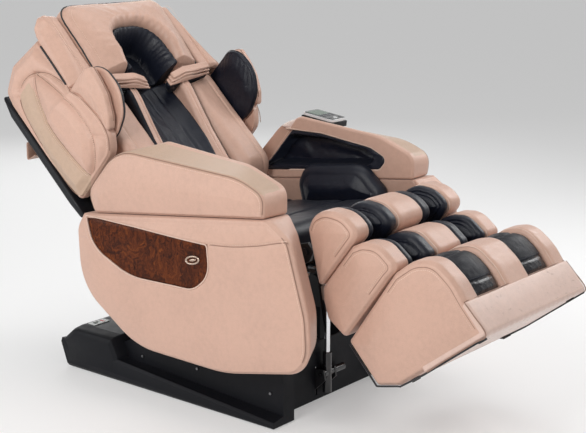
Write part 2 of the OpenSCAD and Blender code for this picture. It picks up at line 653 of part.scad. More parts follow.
arm_outer = [[350, arm_floor, 10], [374, 424, 100], [214, 562, 110], [-300, 473, 140], [-393, 420, 42],
    [-378, arm_floor, 10]];
arm_inner = [[300, arm_floor, 10], [256, 408, 60], [90, 574, 46], [-262, 497, 200], [-396, 428, 46],
    [-386, arm_floor, 10]];
arm_space = [[420, arm_floor + arm_floor_t, 0], [-252, arm_floor + arm_floor_t, 26], [-292, 418, 26],
    [-222, 460, 60], [-10, 512, 200], [130, 528, 40], [420, 528, 0]];
module arm_pad() in_seat() difference() {
    padded(arm_inner, arm_outer, shell_x, chair_x - 2, 10, 24, 9);
    prism(arm_space, shell_x - cut, shell_x + arm_space_w);
    // seat of the runner
    box(arm_mid - 12 - fit, arm_mid + 12 + fit, -arm_runner_len/2 - fit, arm_runner_len/2 + fit,
        arm_floor - cut, arm_floor + 6 + fit);
}
module remote_pocket() in_remote() box(-remote_w/2 - 3, remote_w/2 + 3, -remote_len/2 - 3,
    remote_len/2 + 3, -dock_t - fit, 60);
module arm_pad_left() color(beige) difference() {
    arm_pad();
    remote_pocket();
}
module arm_pad_right() color(beige) mirror([1, 0, 0]) arm_pad();

lining_corners = inset(ccw([[300, arm_floor + arm_floor_t, 0], [-252, arm_floor + arm_floor_t, 26],
    [-292, 418, 26], [-222, 460, 60], [-10, 512, 200], [120, 526.8, 40], [236, 420, 40]]), fit);
forearm_corners = [[420, arm_floor + arm_floor_t + arm_lining_t, 0],
    [-215, arm_floor + arm_floor_t + arm_lining_t, 16], [-232, 422, 10], [-190, 440, 40],
    [-10, 488, 200], [110, 500, 40], [420, 500, 0]];
module arm_lining() in_seat() difference() {
    prism(lining_corners, shell_x + 3, shell_x + arm_space_w - fit);
    prism(forearm_corners, shell_x - cut, shell_x + arm_space_w - arm_lining_t);
}
module arm_lining_left() color(black_leather) arm_lining();
module arm_lining_right() color(black_leather) mirror([1, 0, 0]) arm_lining();

// Remote frame: origin at the middle of the remote's underside, on the left arm's sloping top
remote_x = shell_x + 18 + remote_w/2;
remote_pitch = 14;
module in_remote() in_seat() translate([remote_x, 14, 559]) rotate([remote_pitch, 0, 0]) children();
dock_t = 20;
module remote_dock() color(black_plastic) in_remote()
    box(-remote_w/2 - 2, remote_w/2 + 2, -remote_len/2 - 2, remote_len/2 + 2, -dock_t, -fit);
module remote() color([0.12, 0.13, 0.13]) in_remote() difference() {
    box(-remote_w/2, remote_w/2, -remote_len/2, remote_len/2, 0, remote_t);
    translate([0, -remote_len/2 + 20, remote_t - 4]) cylinder(h = 8, d = key_d + 0.4);
}
module remote_key() color([0.6, 0.6, 0.62]) in_remote()
    translate([0, -remote_len/2 + 20, remote_t - 2.6]) cylinder(h = 4, d = key_d);

// ---------- back -----------------------------------------------------------
cover_n1 = -50;
cover_n0 = cover_n1 - rear_cover_d;
frame_n0 = cover_n1 + fit;
frame_n1 = frame_n0 + back_tube;
wing_x = back_x - wing_t;
back_len = 690;
cross_backs = [60, 380, 640];

module back_frame() color(steel) in_back() {
    both_sides() {
        box(back_tube_x - back_tube/2, back_tube_x + back_tube/2, -14, back_len, frame_n0, frame_n1);
        // hinge eye and pin
        x0 = back_tube_x + back_tube/2;
        x1 = seat_rail_x - lug_t/2 - fit;
        bar([[-24, frame_n0], [40, frame_n0], [22, 16], [0, 26], [-22, 16]], back_tube_x, x1);
        pin_x(x1, seat_rail_x + lug_t/2 + 6, 0, 0, hinge_pin_d);
        // outriggers of the wings
        box(x0, wing_x - fit, 368, 392, frame_n0, frame_n0 + 20);
        box(x0, wing_x - 14, 628, 652, frame_n0, frame_n0 + 20);
        // massage rail: channel open towards the middle
        translate([0, 390, 0]) rotate([90, 0, 0]) linear_extrude(540, center = true) polygon([
            [track_x - 10, -36], [track_x + 8, -36], [track_x + 8, -8], [track_x - 10, -8],
            [track_x - 10, -12], [track_x + 4, -12], [track_x + 4, -32], [track_x - 10, -32]]);
        for (a = [140, 640]) box(track_x + 8, back_tube_x - back_tube/2, a - 10, a + 10, -36, -20 - fit);
    }
    for (a = cross_backs) box(-back_tube_x + back_tube/2, back_tube_x - back_tube/2, a - 11, a + 11,
        frame_n0, frame_n0 + 12);
    // slotted lever of the recline actuator
    difference() {
        rotate([-(back_slope + seat_pitch), 0, 0]) difference() {
            bar([[-20, 12], [26, 20], [14, -back_lever - 22], [-14, -back_lever - 22]],
                recline_x - 4, recline_x + 4);
            hull() for (z = [-back_lever + 1, -back_lever - 9])
                pin_x(recline_x - 6, recline_x + 6, 0, z, end_pin_d + 2);
        }
    }
    box(-back_tube_x + back_tube/2, back_tube_x - back_tube/2, -12, 12, frame_n0, frame_n0 + 26);
}

rear_corners = [[165, cover_n0 + 8, 0], [188, cover_n0, 30], [640, cover_n0, 60], [694, cover_n0 + 20, 20],
    [700, cover_n1 - fit, 0], [160, cover_n1 - fit, 0]];
module rear_cover() color(black_plastic) in_back() difference() {
    prism(rear_corners, -back_x + 2, back_x - 2);
    box(-back_x + 2 + cover_wall, back_x - 2 - cover_wall, 200, 640, cover_n0 + cover_wall, cover_n1 + cut);
}

wing_corners = [[206, -30, 20], [300, -44, 60], [400, cover_n1, 60], [496, cover_n1, 4], [496, 216, 4],
    [482, 221, 4], [440, 246, 40], [330, 262, 60], [262, 248, 30], [216, 205, 60]];
// Above the shoulder the wing's front edge leans in and back towards the head
shoulder_a = 484;
head_a = 759;
head_lean = 62; // [54:1:70]
head_fall = 48;
function rise(a) = pow(max(0, (a - shoulder_a)/(head_a - shoulder_a)), 0.6);
function front_x(a) = back_x - head_lean*rise(a);
function front_n(a) = 222 - head_fall*rise(a);
// Section across the wing at height a, with its rear edge at n0
function wing_section(a, n0) = [for (p = outline(ccw([[back_x, n0, 12], [front_x(a), front_n(a) - 1, 10],
    [front_x(a) - wing_t, front_n(a) - 1, 8], [back_x - wing_t, n0, 8]]))) [p.x, a, p.y]];
module side_wings() color(beige) both_sides() in_back() {
    slab(wing_corners, wing_x, back_x, 14);
    skin([for (l = [[758, 40], [738, -4], [704, -40], [650, cover_n1], [560, cover_n1], [512, cover_n1],
        [474, cover_n1]])
        wing_section(l[0], l[1])]);
}

// Section across a head side at height a: it starts lift above the wing's edge and swells to crest
function ear_section(a, lift, crest) = let (n0 = front_n(a) - 1 + fit + lift)
    [for (p = outline(ccw([[front_x(a), n0, 6], [front_x(a) - 2, n0 + 0.3*(crest - n0), 12],
        [front_x(a) - 36, crest, 30], [pillow_half + 3, crest, 12], [pillow_half + 3, n0, 2]])))
        [p.x, a, p.y]];
// Height, lift and crest, from the top down
ears = [[798, 36, 240], [790, 25, 250], [768, 8, 256], [758, 0, 256], [738, 0, 256], [704, 0, 255],
    [650, 0, 252], [560, 0, 250], [512, 0, 250], [490, 2.4, 250]];
head_plate_n = 44;
module head_shell() color(beige) in_back() {
    both_sides() {
        skin([for (e = ears) ear_section(e[0], e[1], e[2])]);
        box(pillow_half + 3, pillow_half + 28, 500, 730, frame_n1 + fit, 230);
    }
    box(-pillow_half - 3, pillow_half + 3, 522, 730, 0, head_plate_n);
}

outer_lobe = [[250, 246, 12], [300, 300, 40], [360, 334, 40], [420, 346, 60], [466, 350, 14],
    [481, 330, 14], [482, 221.5, 9], [440, 246.5, 40], [330, 262.5, 60]];
module shoulder_shells() color(beige) both_sides() in_back()
    slab(outer_lobe, wing_x + 9, back_x, 7);
inner_lobe = [[262, 160, 20], [262, 250, 60], [288, 312, 50], [350, 364, 60], [440, 360, 60],
    [482, 330, 30], [482.5, 290, 20], [482.5, 180, 16]];
lobe_x1 = wing_x - fit;
module shoulder_lobes() color(black_leather) both_sides() in_back()
    slab(inner_lobe, lobe_x1 - lobe_t, lobe_x1, 9);

bolster_n0 = frame_n1 + fit;
bolster_corners = [[34, bolster_n0, 10], [24, 150, 60], [60, bolster_h, 80], [489, bolster_h + 6, 30],
    [489, bolster_n0, 4]];
ridge_corners = [[40, 60, 10], [36, 120, 40], [110, ridge_h - 6, 60], [496, ridge_h, 20], [496, 60, 4]];
module bolsters() color(beige) both_sides() in_back() {
    slab(bolster_corners, bolster_inner, bolster_half, 30);
    slab(ridge_corners, centre_half, bolster_inner + 8, 20);
}
centre_n0 = 97;
centre_corners = [[50, centre_n0, 6], [44, 150, 30], [300, 158, 400], [500, 150, 20], [500, centre_n0, 6]];
module centre_pad() color(black_leather) in_back()
    slab(centre_corners, -centre_half + fit, centre_half - fit, 16);

pillow_inner = [[502, 96, 10], [502, 288, 40], [596, 312, 120], [700, 312, 80], [780, 292, 50],
    [812, 236, 40], [812, 160, 40], [780, 96, 30]];
pillow_outer = [[502, 96, 10], [502, 252, 30], [596, 268, 120], [700, 272, 80], [772, 262, 40],
    [800, 222, 40], [800, 160, 40], [780, 96, 30]];
pillow_top = [[690, 96, 10], [700, 240, 20], [718, 300, 30], [780, 288, 50], [812, 236, 40],
    [812, 160, 40], [780, 96, 30]];
module head_pillow() color(beige) in_back() {
    both_sides() padded(pillow_inner, pillow_outer, recess_half, pillow_half, 30, 26);
    prism(inset(ccw(pillow_top), 3), -recess_half - 30, recess_half + 30);
    box(-pillow_half + 30, pillow_half - 30, 560, 700, head_plate_n + fit, 112);
}
lining_ring = 34;
module head_lining() color(black_leather) in_back() difference() {
    w = recess_half - fit;
    union() {
        box(-w, w, 504, 690 - fit, 112 + fit, 160);
        both_sides() prism([[504, 150, 0], [690 - fit, 150, 0], [690 - fit, 272, 40], [504, 250, 30]],
            w - lining_ring, w);
        box(-w, w, 690 - fit - lining_ring, 690 - fit, 150, 240);
    }
}

flap_corners = [[52, 232], [64, 262], [246, 268], [246, bolster_h + 6], [138, bolster_h + 6],
    [138, ridge_h + 4], [centre_half - 4, ridge_h + 4], [centre_half - 4, 172], [92, 172], [64, 200]];
module shoulder_flaps() color(beige) both_sides() in_back()
    translate([0, 470, 0]) rotate([90, 0, 0]) linear_extrude(12) polygon(flap_corners);

// Cloth pouch edge that hangs from the rear cover; drawn upright
flap_top_a = 514;
module rear_flap() color([0.72, 0.56, 0.48]) in_back() translate([0, flap_top_a, cover_n0 - fit])
    rotate([-back_slope, 0, 0]) bar([[0, 0], [3, -4], [7, -62], [-36, -44], [-37, -41], [3, -56], [-1, -6]],
        -back_x + 4, back_x - 4);

// ---------- massage carriage ----------------------------------------------
axle_n = 60;
axle_d = 12;
axle_gap = 46;
cheek_x = 70;
module massage_carriage() color(steel) in_back() translate([0, carriage_at, 0]) {
    box(-track_x - 4 + slide_fit, track_x + 4 - slide_fit, -70, 70, -32 + slide_fit, -12 - slide_fit);
    both_sides() difference() {
        bar([[-62, -12 - slide_fit], [62, -12 - slide_fit], [62, axle_n + 6], [axle_gap + 12, axle_n + 12],
             [axle_gap - 14, axle_n + 12], [20, 24], [-20, 24], [-axle_gap + 14, axle_n + 12],
             [-axle_gap - 12, axle_n + 12], [-62, axle_n + 6]], cheek_x, cheek_x + 8);
        for (a = [-axle_gap, axle_gap])
            pin_x(cheek_x - cut, cheek_x + 8 + cut, a, axle_n, axle_d + 2*pin_clearance);
    }
}
motor_d = 34;
module massage_motor() color([0.2, 0.2, 0.22]) in_back() translate([0, carriage_at, 0])
    pin_x(-cheek_x + fit, cheek_x - fit, 0, -12 + motor_d/2 + fit, motor_d);
module rollers(a) color([0.15, 0.15, 0.16]) in_back() translate([0, carriage_at + a, 0]) {
    pin_x(-cheek_x - 12, cheek_x + 12, 0, axle_n, axle_d);
    both_sides() pin_x(cheek_x - 8 - roller_w, cheek_x - 8, 0, axle_n, roller_d);
}
module upper_rollers() rollers(axle_gap);
module lower_rollers() rollers(-axle_gap);

// ---------- leg rest -------------------------------------------------------
slide_x = 142;
arm_tube = 32;
wall_in = leg_x - leg_wall;
div_x = leg_divider/2;
upper_side = [[-22, 84, 20], [-34, 126, 40], [-14, 176, 50], [52, 216, 80], [124, 208, 26],
    [121, -34, 12]];
lower_side = [[126, 158, 20], [146, 196, 30], [190, 234, 60], [284, 231, 28], [278, 180, 100], [279, -82, 14],
    [198, -84, 30], [148, -48, 30], [124, -18, 10]];
foot_side = [[282, 205, 10], [304, 282, 70], [352, 338, 70], [440, 336, 60], [500, 318, 200], [604, 296, 10],
    [502, -46, 8], [449, -108, 14], [294, -79, 10]];
upper_floor = [[-4, well_floor, 2], [122, well_floor, 2], [121, -34, 4]];
lower_floor = [[125, well_floor, 2], [277, well_floor, 2], [278, -80, 6], [198, -82, 28], [149, -46, 28],
    [125, -17, 6]];
foot_floor = [[284, well_floor, 2], [534, well_floor, 2], [502, -46, 6], [449, -108, 14], [294, -79, 8]];
foot_front = [[460, well_floor - 10, 6], [478, 282, 10], [506, 312, 10], [601, 294, 8], [532, well_floor - 10, 6]];

module leg_fins(side, edge) {
    both_sides() slab(down(side), wall_in, leg_x, edge);
    slab(down(side), -div_x, div_x, edge);
}
module frame_tunnels(s0, s1) both_sides()
    box(slide_x - arm_tube/2 - 1, slide_x + arm_tube/2 + 1, -s1, -s0, -arm_tube/2 - 1, arm_tube/2 + 1);

module calf_block_upper() color(beige) in_leg() difference() {
    union() {
        leg_fins(upper_side, 20);
        prism(down(upper_floor), -wall_in - 16, wall_in + 16);
    }
    frame_tunnels(-40, 130);
}
module calf_block_lower() color(beige) in_leg() difference() {
    union() {
        leg_fins(lower_side, 20);
        prism(down(lower_floor), -wall_in - 16, wall_in + 16);
    }
    frame_tunnels(110, 290);
}
module foot_block() color(beige) in_leg() difference() {
    union() {
        leg_fins(foot_side, 20);
        prism(down(foot_floor), -wall_in - 16, wall_in + 16);
        prism(down(foot_front), -wall_in - 16, wall_in + 16);
    }
    both_sides() pin_y(-452, -270, slide_x, 0, slide_d + 2*fit);
}

module leg_frame() color(steel) in_leg() {
    pin_x(-seat_rail_x - lug_t/2 - 8, seat_rail_x + lug_t/2 + 8, 0, 0, knee_shaft_d);
    both_sides() difference() {
        box(slide_x - arm_tube/2, slide_x + arm_tube/2, -272, -8, -arm_tube/2, arm_tube/2);
        pin_y(-272 - cut, -30, slide_x, 0, slide_d + 2*pin_clearance);
    }
    box(-slide_x + arm_tube/2, slide_x - arm_tube/2, -60, -30, -arm_tube/2 - 4, 0);
    // slotted lever of the leg actuator
    rotate([-(leg_slope + seat_pitch) + lever_lead, 0, 0]) difference() {
        bar([[-18, 10], [18, 10], [14, -leg_lever - 34], [-14, -leg_lever - 34]],
            leg_rod_x - 4, leg_rod_x + 4);
        hull() for (z = [-leg_lever + 2, -leg_lever - 19])
            pin_x(leg_rod_x - 6, leg_rod_x + 6, 0, z, end_pin_d + 5.6);
    }
}

pad_inset = 6;
function pad_corners(side) = inset(ccw(side), pad_inset);
module calf_pad(side, floor_cut) difference() {
    union() {
        slab(down(pad_corners(side)), div_x + fit, div_x + calf_pad_inner, 12);
        slab(down(pad_corners(side)), wall_in - calf_pad_outer, wall_in - fit, 8);
    }
    box(0, leg_x, -floor_cut[1], -floor_cut[0], -120, well_floor + fit);
}
module calf_pads() color(black_leather) both_sides() in_leg() {
    calf_pad(upper_side, [-60, 160]);
    calf_pad(lower_side, [90, 310]);
}

hood_outer = [[300, 222, 8], [320, 274, 50], [362, 324, 50], [440, 318, 50], [492.5, 300, 30], [477, 281.5, 4],
    [474, 278 - hood_t, 4], [430, 318 - 1.3*hood_t, 40], [372, 322 - 1.4*hood_t, 30], [346, 274 - 0.4*hood_t, 40],
    [328, 216, 8]];
module foot_hoods() color(black_leather) both_sides() in_leg()
    prism(down(hood_outer), div_x + fit, wall_in - fit);

module foot_slides() color([0.75, 0.76, 0.78]) both_sides() in_leg()
    pin_y(-450, -100, slide_x, 0, slide_d);
module foot_feet() color([0.05, 0.05, 0.05]) both_sides() in_leg()
    for (s = [0.12, 0.88]) let (p = [502 + (604 - 502)*s, -46 + (296 + 46)*s])
        translate([leg_x - 40, -p.x, p.y]) rotate([90 + 16.6, 0, 0]) translate([0, 0, fit]) cylinder(h = 9, d = 28);

base_chassis();
base_cover();
front_plate();
floor_strips();
base_screws();
power_supply();
air_pump();
control_board();
inlet_plate();
power_switch();
wheel_left();
wheel_right();
tilt_cylinder();
tilt_rod();
seat_frame();
seat_cushion();
hip_pads();
side_shell_left();
side_shell_right();
side_linings();
wood_inlays();
badge_rings();
arm_rails();
recline_cylinder();
recline_rod();
leg_cylinder();
leg_rod();
arm_pad_left();
arm_pad_right();
arm_lining_left();
arm_lining_right();
arm_runner_left();
arm_runner_right();
remote_dock();
remote();
remote_key();
back_frame();
rear_cover();
side_wings();
head_shell();
shoulder_shells();
shoulder_lobes();
centre_pad();
bolsters();
head_pillow();
head_lining();
shoulder_flaps();
rear_flap();
massage_carriage();
massage_motor();
upper_rollers();
lower_rollers();
leg_frame();
calf_block_upper();
calf_block_lower();
calf_pads();
foot_block();
foot_hoods();
foot_slides();
foot_feet();
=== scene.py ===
"""Half reclined massage chair: leather, wood and plastic looks over the made part.
The scene is in metres; outlines are given in millimetres in the frame of the part they belong to."""
import math

import bmesh
import bpy
import numpy as np
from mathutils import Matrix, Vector


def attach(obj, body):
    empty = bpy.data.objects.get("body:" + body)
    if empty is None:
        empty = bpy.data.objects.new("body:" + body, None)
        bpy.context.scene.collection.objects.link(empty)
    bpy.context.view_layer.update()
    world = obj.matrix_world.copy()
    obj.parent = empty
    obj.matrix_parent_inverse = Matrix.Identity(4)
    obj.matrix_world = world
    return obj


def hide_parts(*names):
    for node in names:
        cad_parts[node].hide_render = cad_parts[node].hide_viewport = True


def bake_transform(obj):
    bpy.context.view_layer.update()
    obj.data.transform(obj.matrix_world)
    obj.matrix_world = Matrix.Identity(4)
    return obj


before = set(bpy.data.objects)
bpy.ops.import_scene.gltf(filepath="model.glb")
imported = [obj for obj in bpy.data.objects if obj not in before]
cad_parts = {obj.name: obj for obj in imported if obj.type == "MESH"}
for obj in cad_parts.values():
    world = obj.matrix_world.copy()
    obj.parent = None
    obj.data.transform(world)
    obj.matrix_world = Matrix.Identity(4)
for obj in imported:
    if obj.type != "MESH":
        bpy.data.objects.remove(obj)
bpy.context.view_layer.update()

# ---------- camera, lights and sky --------------------------------------------
FOCAL_PX, FRAME_PX, SENSOR = 1331.2, 586, 36.0
CAMERA_AT, CAMERA_DOWN, CAMERA_TURN = (-3.321, -2.982, 1.578), 13.03, -50.84
SKY_LOW, SKY_HIGH = 0.66, 0.34
SKY_FROM, SKY_TO = 0.10, 0.45


def shown(name, data):
    """A new object in the scene."""
    made = bpy.data.objects.new(name, data)
    bpy.context.scene.collection.objects.link(made)
    return made


def area_light(name, place, target, size, watts, colour=(1, 1, 1)):
    """A square soft light at place, turned towards target."""
    data = bpy.data.lights.new(name, "AREA")
    data.shape, data.size, data.energy, data.color = "SQUARE", size, watts, colour
    lamp = shown(name, data)
    lamp.location = place
    lamp.rotation_euler = (Vector(target) - Vector(place)).to_track_quat("-Z", "Y").to_euler()


def studio_sky():
    """Even light whose strength falls from the horizon to the top."""
    world = bpy.data.worlds.new("studio")
    world.use_nodes = True
    sky = world.node_tree
    place, split, fade = (sky.nodes.new(kind) for kind in (
        "ShaderNodeTexCoord", "ShaderNodeSeparateXYZ", "ShaderNodeMapRange"))
    for key, value in (("From Min", SKY_FROM), ("From Max", SKY_TO), ("To Min", SKY_LOW), ("To Max", SKY_HIGH)):
        fade.inputs[key].default_value = value
    sky.links.new(place.outputs["Generated"], split.inputs[0])
    sky.links.new(split.outputs["Z"], fade.inputs["Value"])
    sky.links.new(fade.outputs["Result"], sky.nodes["Background"].inputs["Strength"])
    sky.nodes["Background"].inputs["Color"].default_value = (1.0, 1.0, 1.0, 1)
    return world


camera_data = bpy.data.cameras.new("camera")
camera_data.sensor_fit = "HORIZONTAL"
camera_data.sensor_width = SENSOR
camera_data.lens = FOCAL_PX / FRAME_PX * SENSOR
camera_data.clip_end = 200
camera = shown("camera", camera_data)
camera.location = CAMERA_AT
camera.rotation_euler = (math.radians(90 - CAMERA_DOWN), 0, math.radians(CAMERA_TURN))
bpy.context.scene.camera = camera
area_light("key_light", (-3.9, -0.9, 2.9), (0, -0.1, 0.6), 1.6, 94, (1.0, 0.99, 0.975))
area_light("front_light", (-0.8, -4.6, 2.6), (0, 0, 0.5), 2.6, 15, (1.0, 0.99, 0.98))
area_light("top_light", (0.6, 0.2, 4.2), (0, 0, 0.4), 2.6, 38)
area_light("side_light", (2.6, -1.3, 2.5), (0, -0.8, 0.7), 1.7, 48)
area_light("left_rear_light", (-3.4, 2.8, 1.9), (0, 0, 0.6), 1.8, 34)
area_light("rear_light", (2.6, 3.4, 2.4), (0, 0, 0.6), 2.4, 40)
bpy.context.scene.world = studio_sky()
bpy.context.scene.view_settings.view_transform = "Standard"

# ---------- materials ---------------------------------------------------------


class Shader:
    """A node material under one Principled shader, whose textures read Object coordinates."""

    def __init__(self, name, **values):
        self.material = bpy.data.materials.new(name)
        self.material.use_nodes = True
        self.tree = self.material.node_tree
        self.base = self.tree.nodes["Principled BSDF"]
        self.place = self.tree.nodes.new("ShaderNodeTexCoord").outputs["Object"]
        for key, value in values.items():
            self.base.inputs[key.replace("_", " ")].default_value = value

    def node(self, kind, links=(), **values):
        """A node with sources linked by socket; other values set a socket or, without one, a property."""
        made = self.tree.nodes.new(kind)
        for key, value in values.items():
            label = key.replace("_", " ")
            if label in made.inputs:
                made.inputs[label].default_value = value
            else:
                setattr(made, key, value)
        for socket, source in dict(links).items():
            self.tree.links.new(source, made.inputs[socket])
        return made

    def scaled(self, x, y, z):
        """Object coordinates stretched along the three axes."""
        return self.node("ShaderNodeMapping", {"Vector": self.place}, Scale=(x, y, z)).outputs["Vector"]

    def noise(self, scale, detail=3.0, rough=0.55, where=None, distortion=0.0, out="Fac"):
        """Fractal noise, as a value or with out="Color" as a vector."""
        return self.node("ShaderNodeTexNoise", {"Vector": where or self.place}, Scale=scale, Detail=detail,
                         Roughness=rough, Distortion=distortion).outputs[out]

    def ramp(self, source, stops):
        """Colours of the (position, colour) stops, picked by a value."""
        made = self.node("ShaderNodeValToRGB", {"Fac": source})
        points = made.color_ramp.elements
        while len(points) < len(stops):
            points.new(0.5)
        for point, (at, colour) in zip(points, stops):
            point.position, point.color = at, (*colour, 1)
        return made.outputs["Color"]

    def spread(self, source, low, high, out_low, out_high):
        """A value carried from one range to another."""
        return self.node("ShaderNodeMapRange", {"Value": source}, From_Min=low, From_Max=high,
                         To_Min=out_low, To_Max=out_high).outputs["Result"]

    def mix(self, blend, *sources):
        """Colour mix of (factor, first, second), each a constant or a socket."""
        made = self.node("ShaderNodeMix", data_type="RGBA", blend_type=blend)
        for socket, source in zip((0, 6, 7), sources):
            if isinstance(source, (float, tuple)):
                made.inputs[socket].default_value = source
            else:
                self.tree.links.new(source, made.inputs[socket])
        return made.outputs[2]

    def paint(self, socket, source):
        """Links a source to an input of the Principled shader."""
        self.tree.links.new(source, self.base.inputs[socket])

    def bump(self, *heights):
        """Stacks (height source, distance in metres, strength) into one normal."""
        normal = None
        for source, distance, strength in heights:
            links = {"Height": source} if normal is None else {"Height": source, "Normal": normal}
            normal = self.node("ShaderNodeBump", links, Distance=distance, Strength=strength).outputs["Normal"]
        self.paint("Normal", normal)


def shade(colour, by):
    """A colour made lighter or darker."""
    return tuple(min(1.0, c * by) for c in colour)


def leather(name, colour, rough, grain=420.0, depth=0.00035, sheen=0.15, creases=1.0, spec=0.5):
    """Fine pebbled grain from cell distances, its crevices darkened in colour as painted shade; faint long creases,
    and slow changes of tone.
    """
    s = Shader(name, Sheen_Weight=sheen, Sheen_Roughness=0.4, Specular_IOR_Level=spec)
    cells = s.node("ShaderNodeTexVoronoi", {"Vector": s.place}, Scale=grain,
                   feature="DISTANCE_TO_EDGE").outputs["Distance"]
    slow, quick = s.noise(5.0, 4.0, 0.6), s.noise(60.0, 4.0, 0.6)
    tones = s.node("ShaderNodeMath", {0: slow, 1: quick}, operation="ADD").outputs["Value"]
    base = s.ramp(s.spread(tones, 0.0, 2.0, 0.0, 1.0),
                  [(0.30, shade(colour, 0.90)), (0.52, colour), (0.75, shade(colour, 1.07))])
    # cell edges darken the base colour: painted shade in the grain's crevices
    s.paint("Base Color", s.mix("MULTIPLY", s.spread(cells, 0.0, 0.12, 0.16, 0.0), base, (0.35, 0.3, 0.3, 1)))
    s.paint("Roughness", s.spread(quick, 0.25, 0.75, rough - 0.05, rough + 0.07))
    crease = s.noise(34.0, 5.0, 0.65, s.scaled(1.0, 0.6, 1.3), 0.8)
    s.bump((crease, 0.0016 * creases, 0.30), (s.spread(cells, 0.0, 0.25, 0.0, 1.0), depth, 0.45),
           (s.noise(1400.0, 2.0), 0.00012, 0.5))
    return s.material


def moulded(name, colour, rough, depth=0.00012, texture=900.0, metal=0.0, coat=0.0, spec=0.5):
    """Moulded plastic or powder coat: a fine spark texture and faint handling marks in the gloss."""
    s = Shader(name, Metallic=metal, Coat_Weight=coat, Coat_Roughness=0.12, Specular_IOR_Level=spec)
    s.paint("Base Color", s.ramp(s.noise(3.0, 4.0), [(0.3, shade(colour, 0.85)), (0.7, shade(colour, 1.18))]))
    s.paint("Roughness", s.spread(s.noise(22.0, 6.0, 0.7), 0.3, 0.7, rough - 0.06, rough + 0.08))
    s.bump((s.noise(texture, 2.0), depth, 0.5))
    return s.material


def metal(name, colour, rough, brushed=(1.0, 1.0, 1.0)):
    """Drawn or turned metal: long fine lines along one direction in both gloss and relief."""
    s = Shader(name, Metallic=1.0)
    lines = s.noise(500.0, 3.0, 0.6, s.scaled(*brushed))
    s.paint("Base Color", s.ramp(lines, [(0.2, shade(colour, 0.86)), (0.8, shade(colour, 1.08))]))
    s.paint("Roughness", s.spread(lines, 0.2, 0.8, rough - 0.04, rough + 0.08))
    s.bump((lines, 0.00008, 0.4))
    return s.material


def burl(name):
    """Lacquered burl veneer: dark red-brown figure, warped twice, with small knots and fine pores."""
    s = Shader(name, Coat_Weight=0.05, Coat_Roughness=0.12, Roughness=0.38, Specular_IOR_Level=0.10)
    where = s.scaled(1.0, 1.0, 0.75)
    moved = s.mix("LINEAR_LIGHT", 0.12, where, s.noise(9.0, 5.0, 0.6, where, out="Color"))
    s.paint("Base Color", s.ramp(s.noise(24.0, 8.0, 0.66, moved, 1.6), [
        (0.28, (0.010, 0.0022, 0.0008)), (0.44, (0.042, 0.0085, 0.0020)), (0.56, (0.098, 0.021, 0.0042)),
        (0.74, (0.21, 0.056, 0.010))]))
    s.bump((s.noise(700.0, 2.0, 0.5, s.scaled(1, 1, 0.2)), 0.00006, 0.4))
    return s.material


CORD = {"grain": 900.0, "depth": 0.0001, "creases": 0.2}
tan_leather = leather("tan_leather", (0.600, 0.378, 0.292), 0.36, creases=0.6)
tan_top = leather("tan_leather_top", (0.52, 0.362, 0.262), 0.38)
# glossier leather for the front strip, its colour also lightened as a painted highlight
tan_gloss_painted_highlight = leather("tan_leather_gloss_painted_highlight", (0.69, 0.495, 0.42), 0.30, creases=0.25)
tan_plain = leather("tan_leather_plain", (0.45, 0.28, 0.215), 0.50)
piping = leather("tan_piping", (0.66, 0.47, 0.38), 0.38, **CORD)
black_matt = leather("black_leather_matt", (0.0062, 0.0070, 0.0120), 0.40, depth=0.0004, sheen=0.0, creases=1.2,
                     spec=0.20)
black_leather = leather("black_leather", (0.0072, 0.0094, 0.0190), 0.33, depth=0.0004, sheen=0.03, creases=1.6,
                        spec=0.38)
black_shine = leather("black_leather_shine", (0.012, 0.012, 0.016), 0.16, sheen=0.0, creases=2.2)
# black cord: real piping and binding, and also the painted shadow in the gap between wing and ear
black_piping_and_gap_shade = leather("black_piping_and_gap_shade", (0.008, 0.009, 0.013), 0.34, **CORD)
# dark tan for cords laid in the seam grooves: painted shade of the grooves
seam_shadow_paint = leather("tan_seam_shadow", (0.30, 0.178, 0.13), 0.6, **CORD)
thread = moulded("pale_thread", (0.80, 0.62, 0.50), 0.6, texture=2500.0)
black_thread = moulded("grey_thread", (0.05, 0.055, 0.075), 0.55, texture=2500.0)
base_plastic = moulded("base_plastic", (0.0070, 0.0075, 0.0100), 0.46, spec=0.15)
back_plastic = moulded("back_plastic", (0.008, 0.009, 0.012), 0.44, spec=0.3)
frame_paint = moulded("frame_paint", (0.014, 0.014, 0.016), 0.40, texture=500.0)
gloss_black = moulded("actuator_black", (0.010, 0.010, 0.012), 0.14, coat=0.6)
rubber = moulded("rubber", (0.018, 0.018, 0.018), 0.72, depth=0.0003, texture=600.0)
pale_plastic = moulded("pale_plastic", (0.50, 0.53, 0.52), 0.38)
grey_plastic = moulded("grey_plastic", (0.10, 0.10, 0.11), 0.45)
red_plastic = moulded("red_plastic", (0.32, 0.012, 0.010), 0.22, coat=0.4)
board_green = moulded("board_green", (0.015, 0.11, 0.045), 0.40)
silver_plastic = moulded("silver_plastic", (0.70, 0.70, 0.71), 0.30, metal=0.25)
display = moulded("remote_display", (0.115, 0.165, 0.125), 0.14, coat=0.5)
screen_glass = moulded("screen_glass", (0.012, 0.015, 0.017), 0.07, coat=1.0)
chrome = metal("rod_chrome", (0.82, 0.83, 0.85), 0.10, (8, 8, 0.6))
steel = metal("brushed_steel", (0.52, 0.53, 0.55), 0.30, (1, 0.05, 1))
dark_zinc = metal("dark_zinc", (0.20, 0.20, 0.21), 0.38)
warm_metal = metal("warm_metal", (0.55, 0.42, 0.34), 0.24)
wood = burl("burl_veneer")
floor_paint = Shader("floor_paint", Roughness=0.9, Base_Color=(0.60, 0.60, 0.60, 1), Emission_Color=(1, 1, 1, 1),
                     Emission_Strength=0.30).material

# ---------- frames of the tilting parts ---------------------------------------
SEAT_PITCH, BACK_SLOPE, LEG_SLOPE = (math.radians(a) for a in (6.6, 43.0, 36.5))


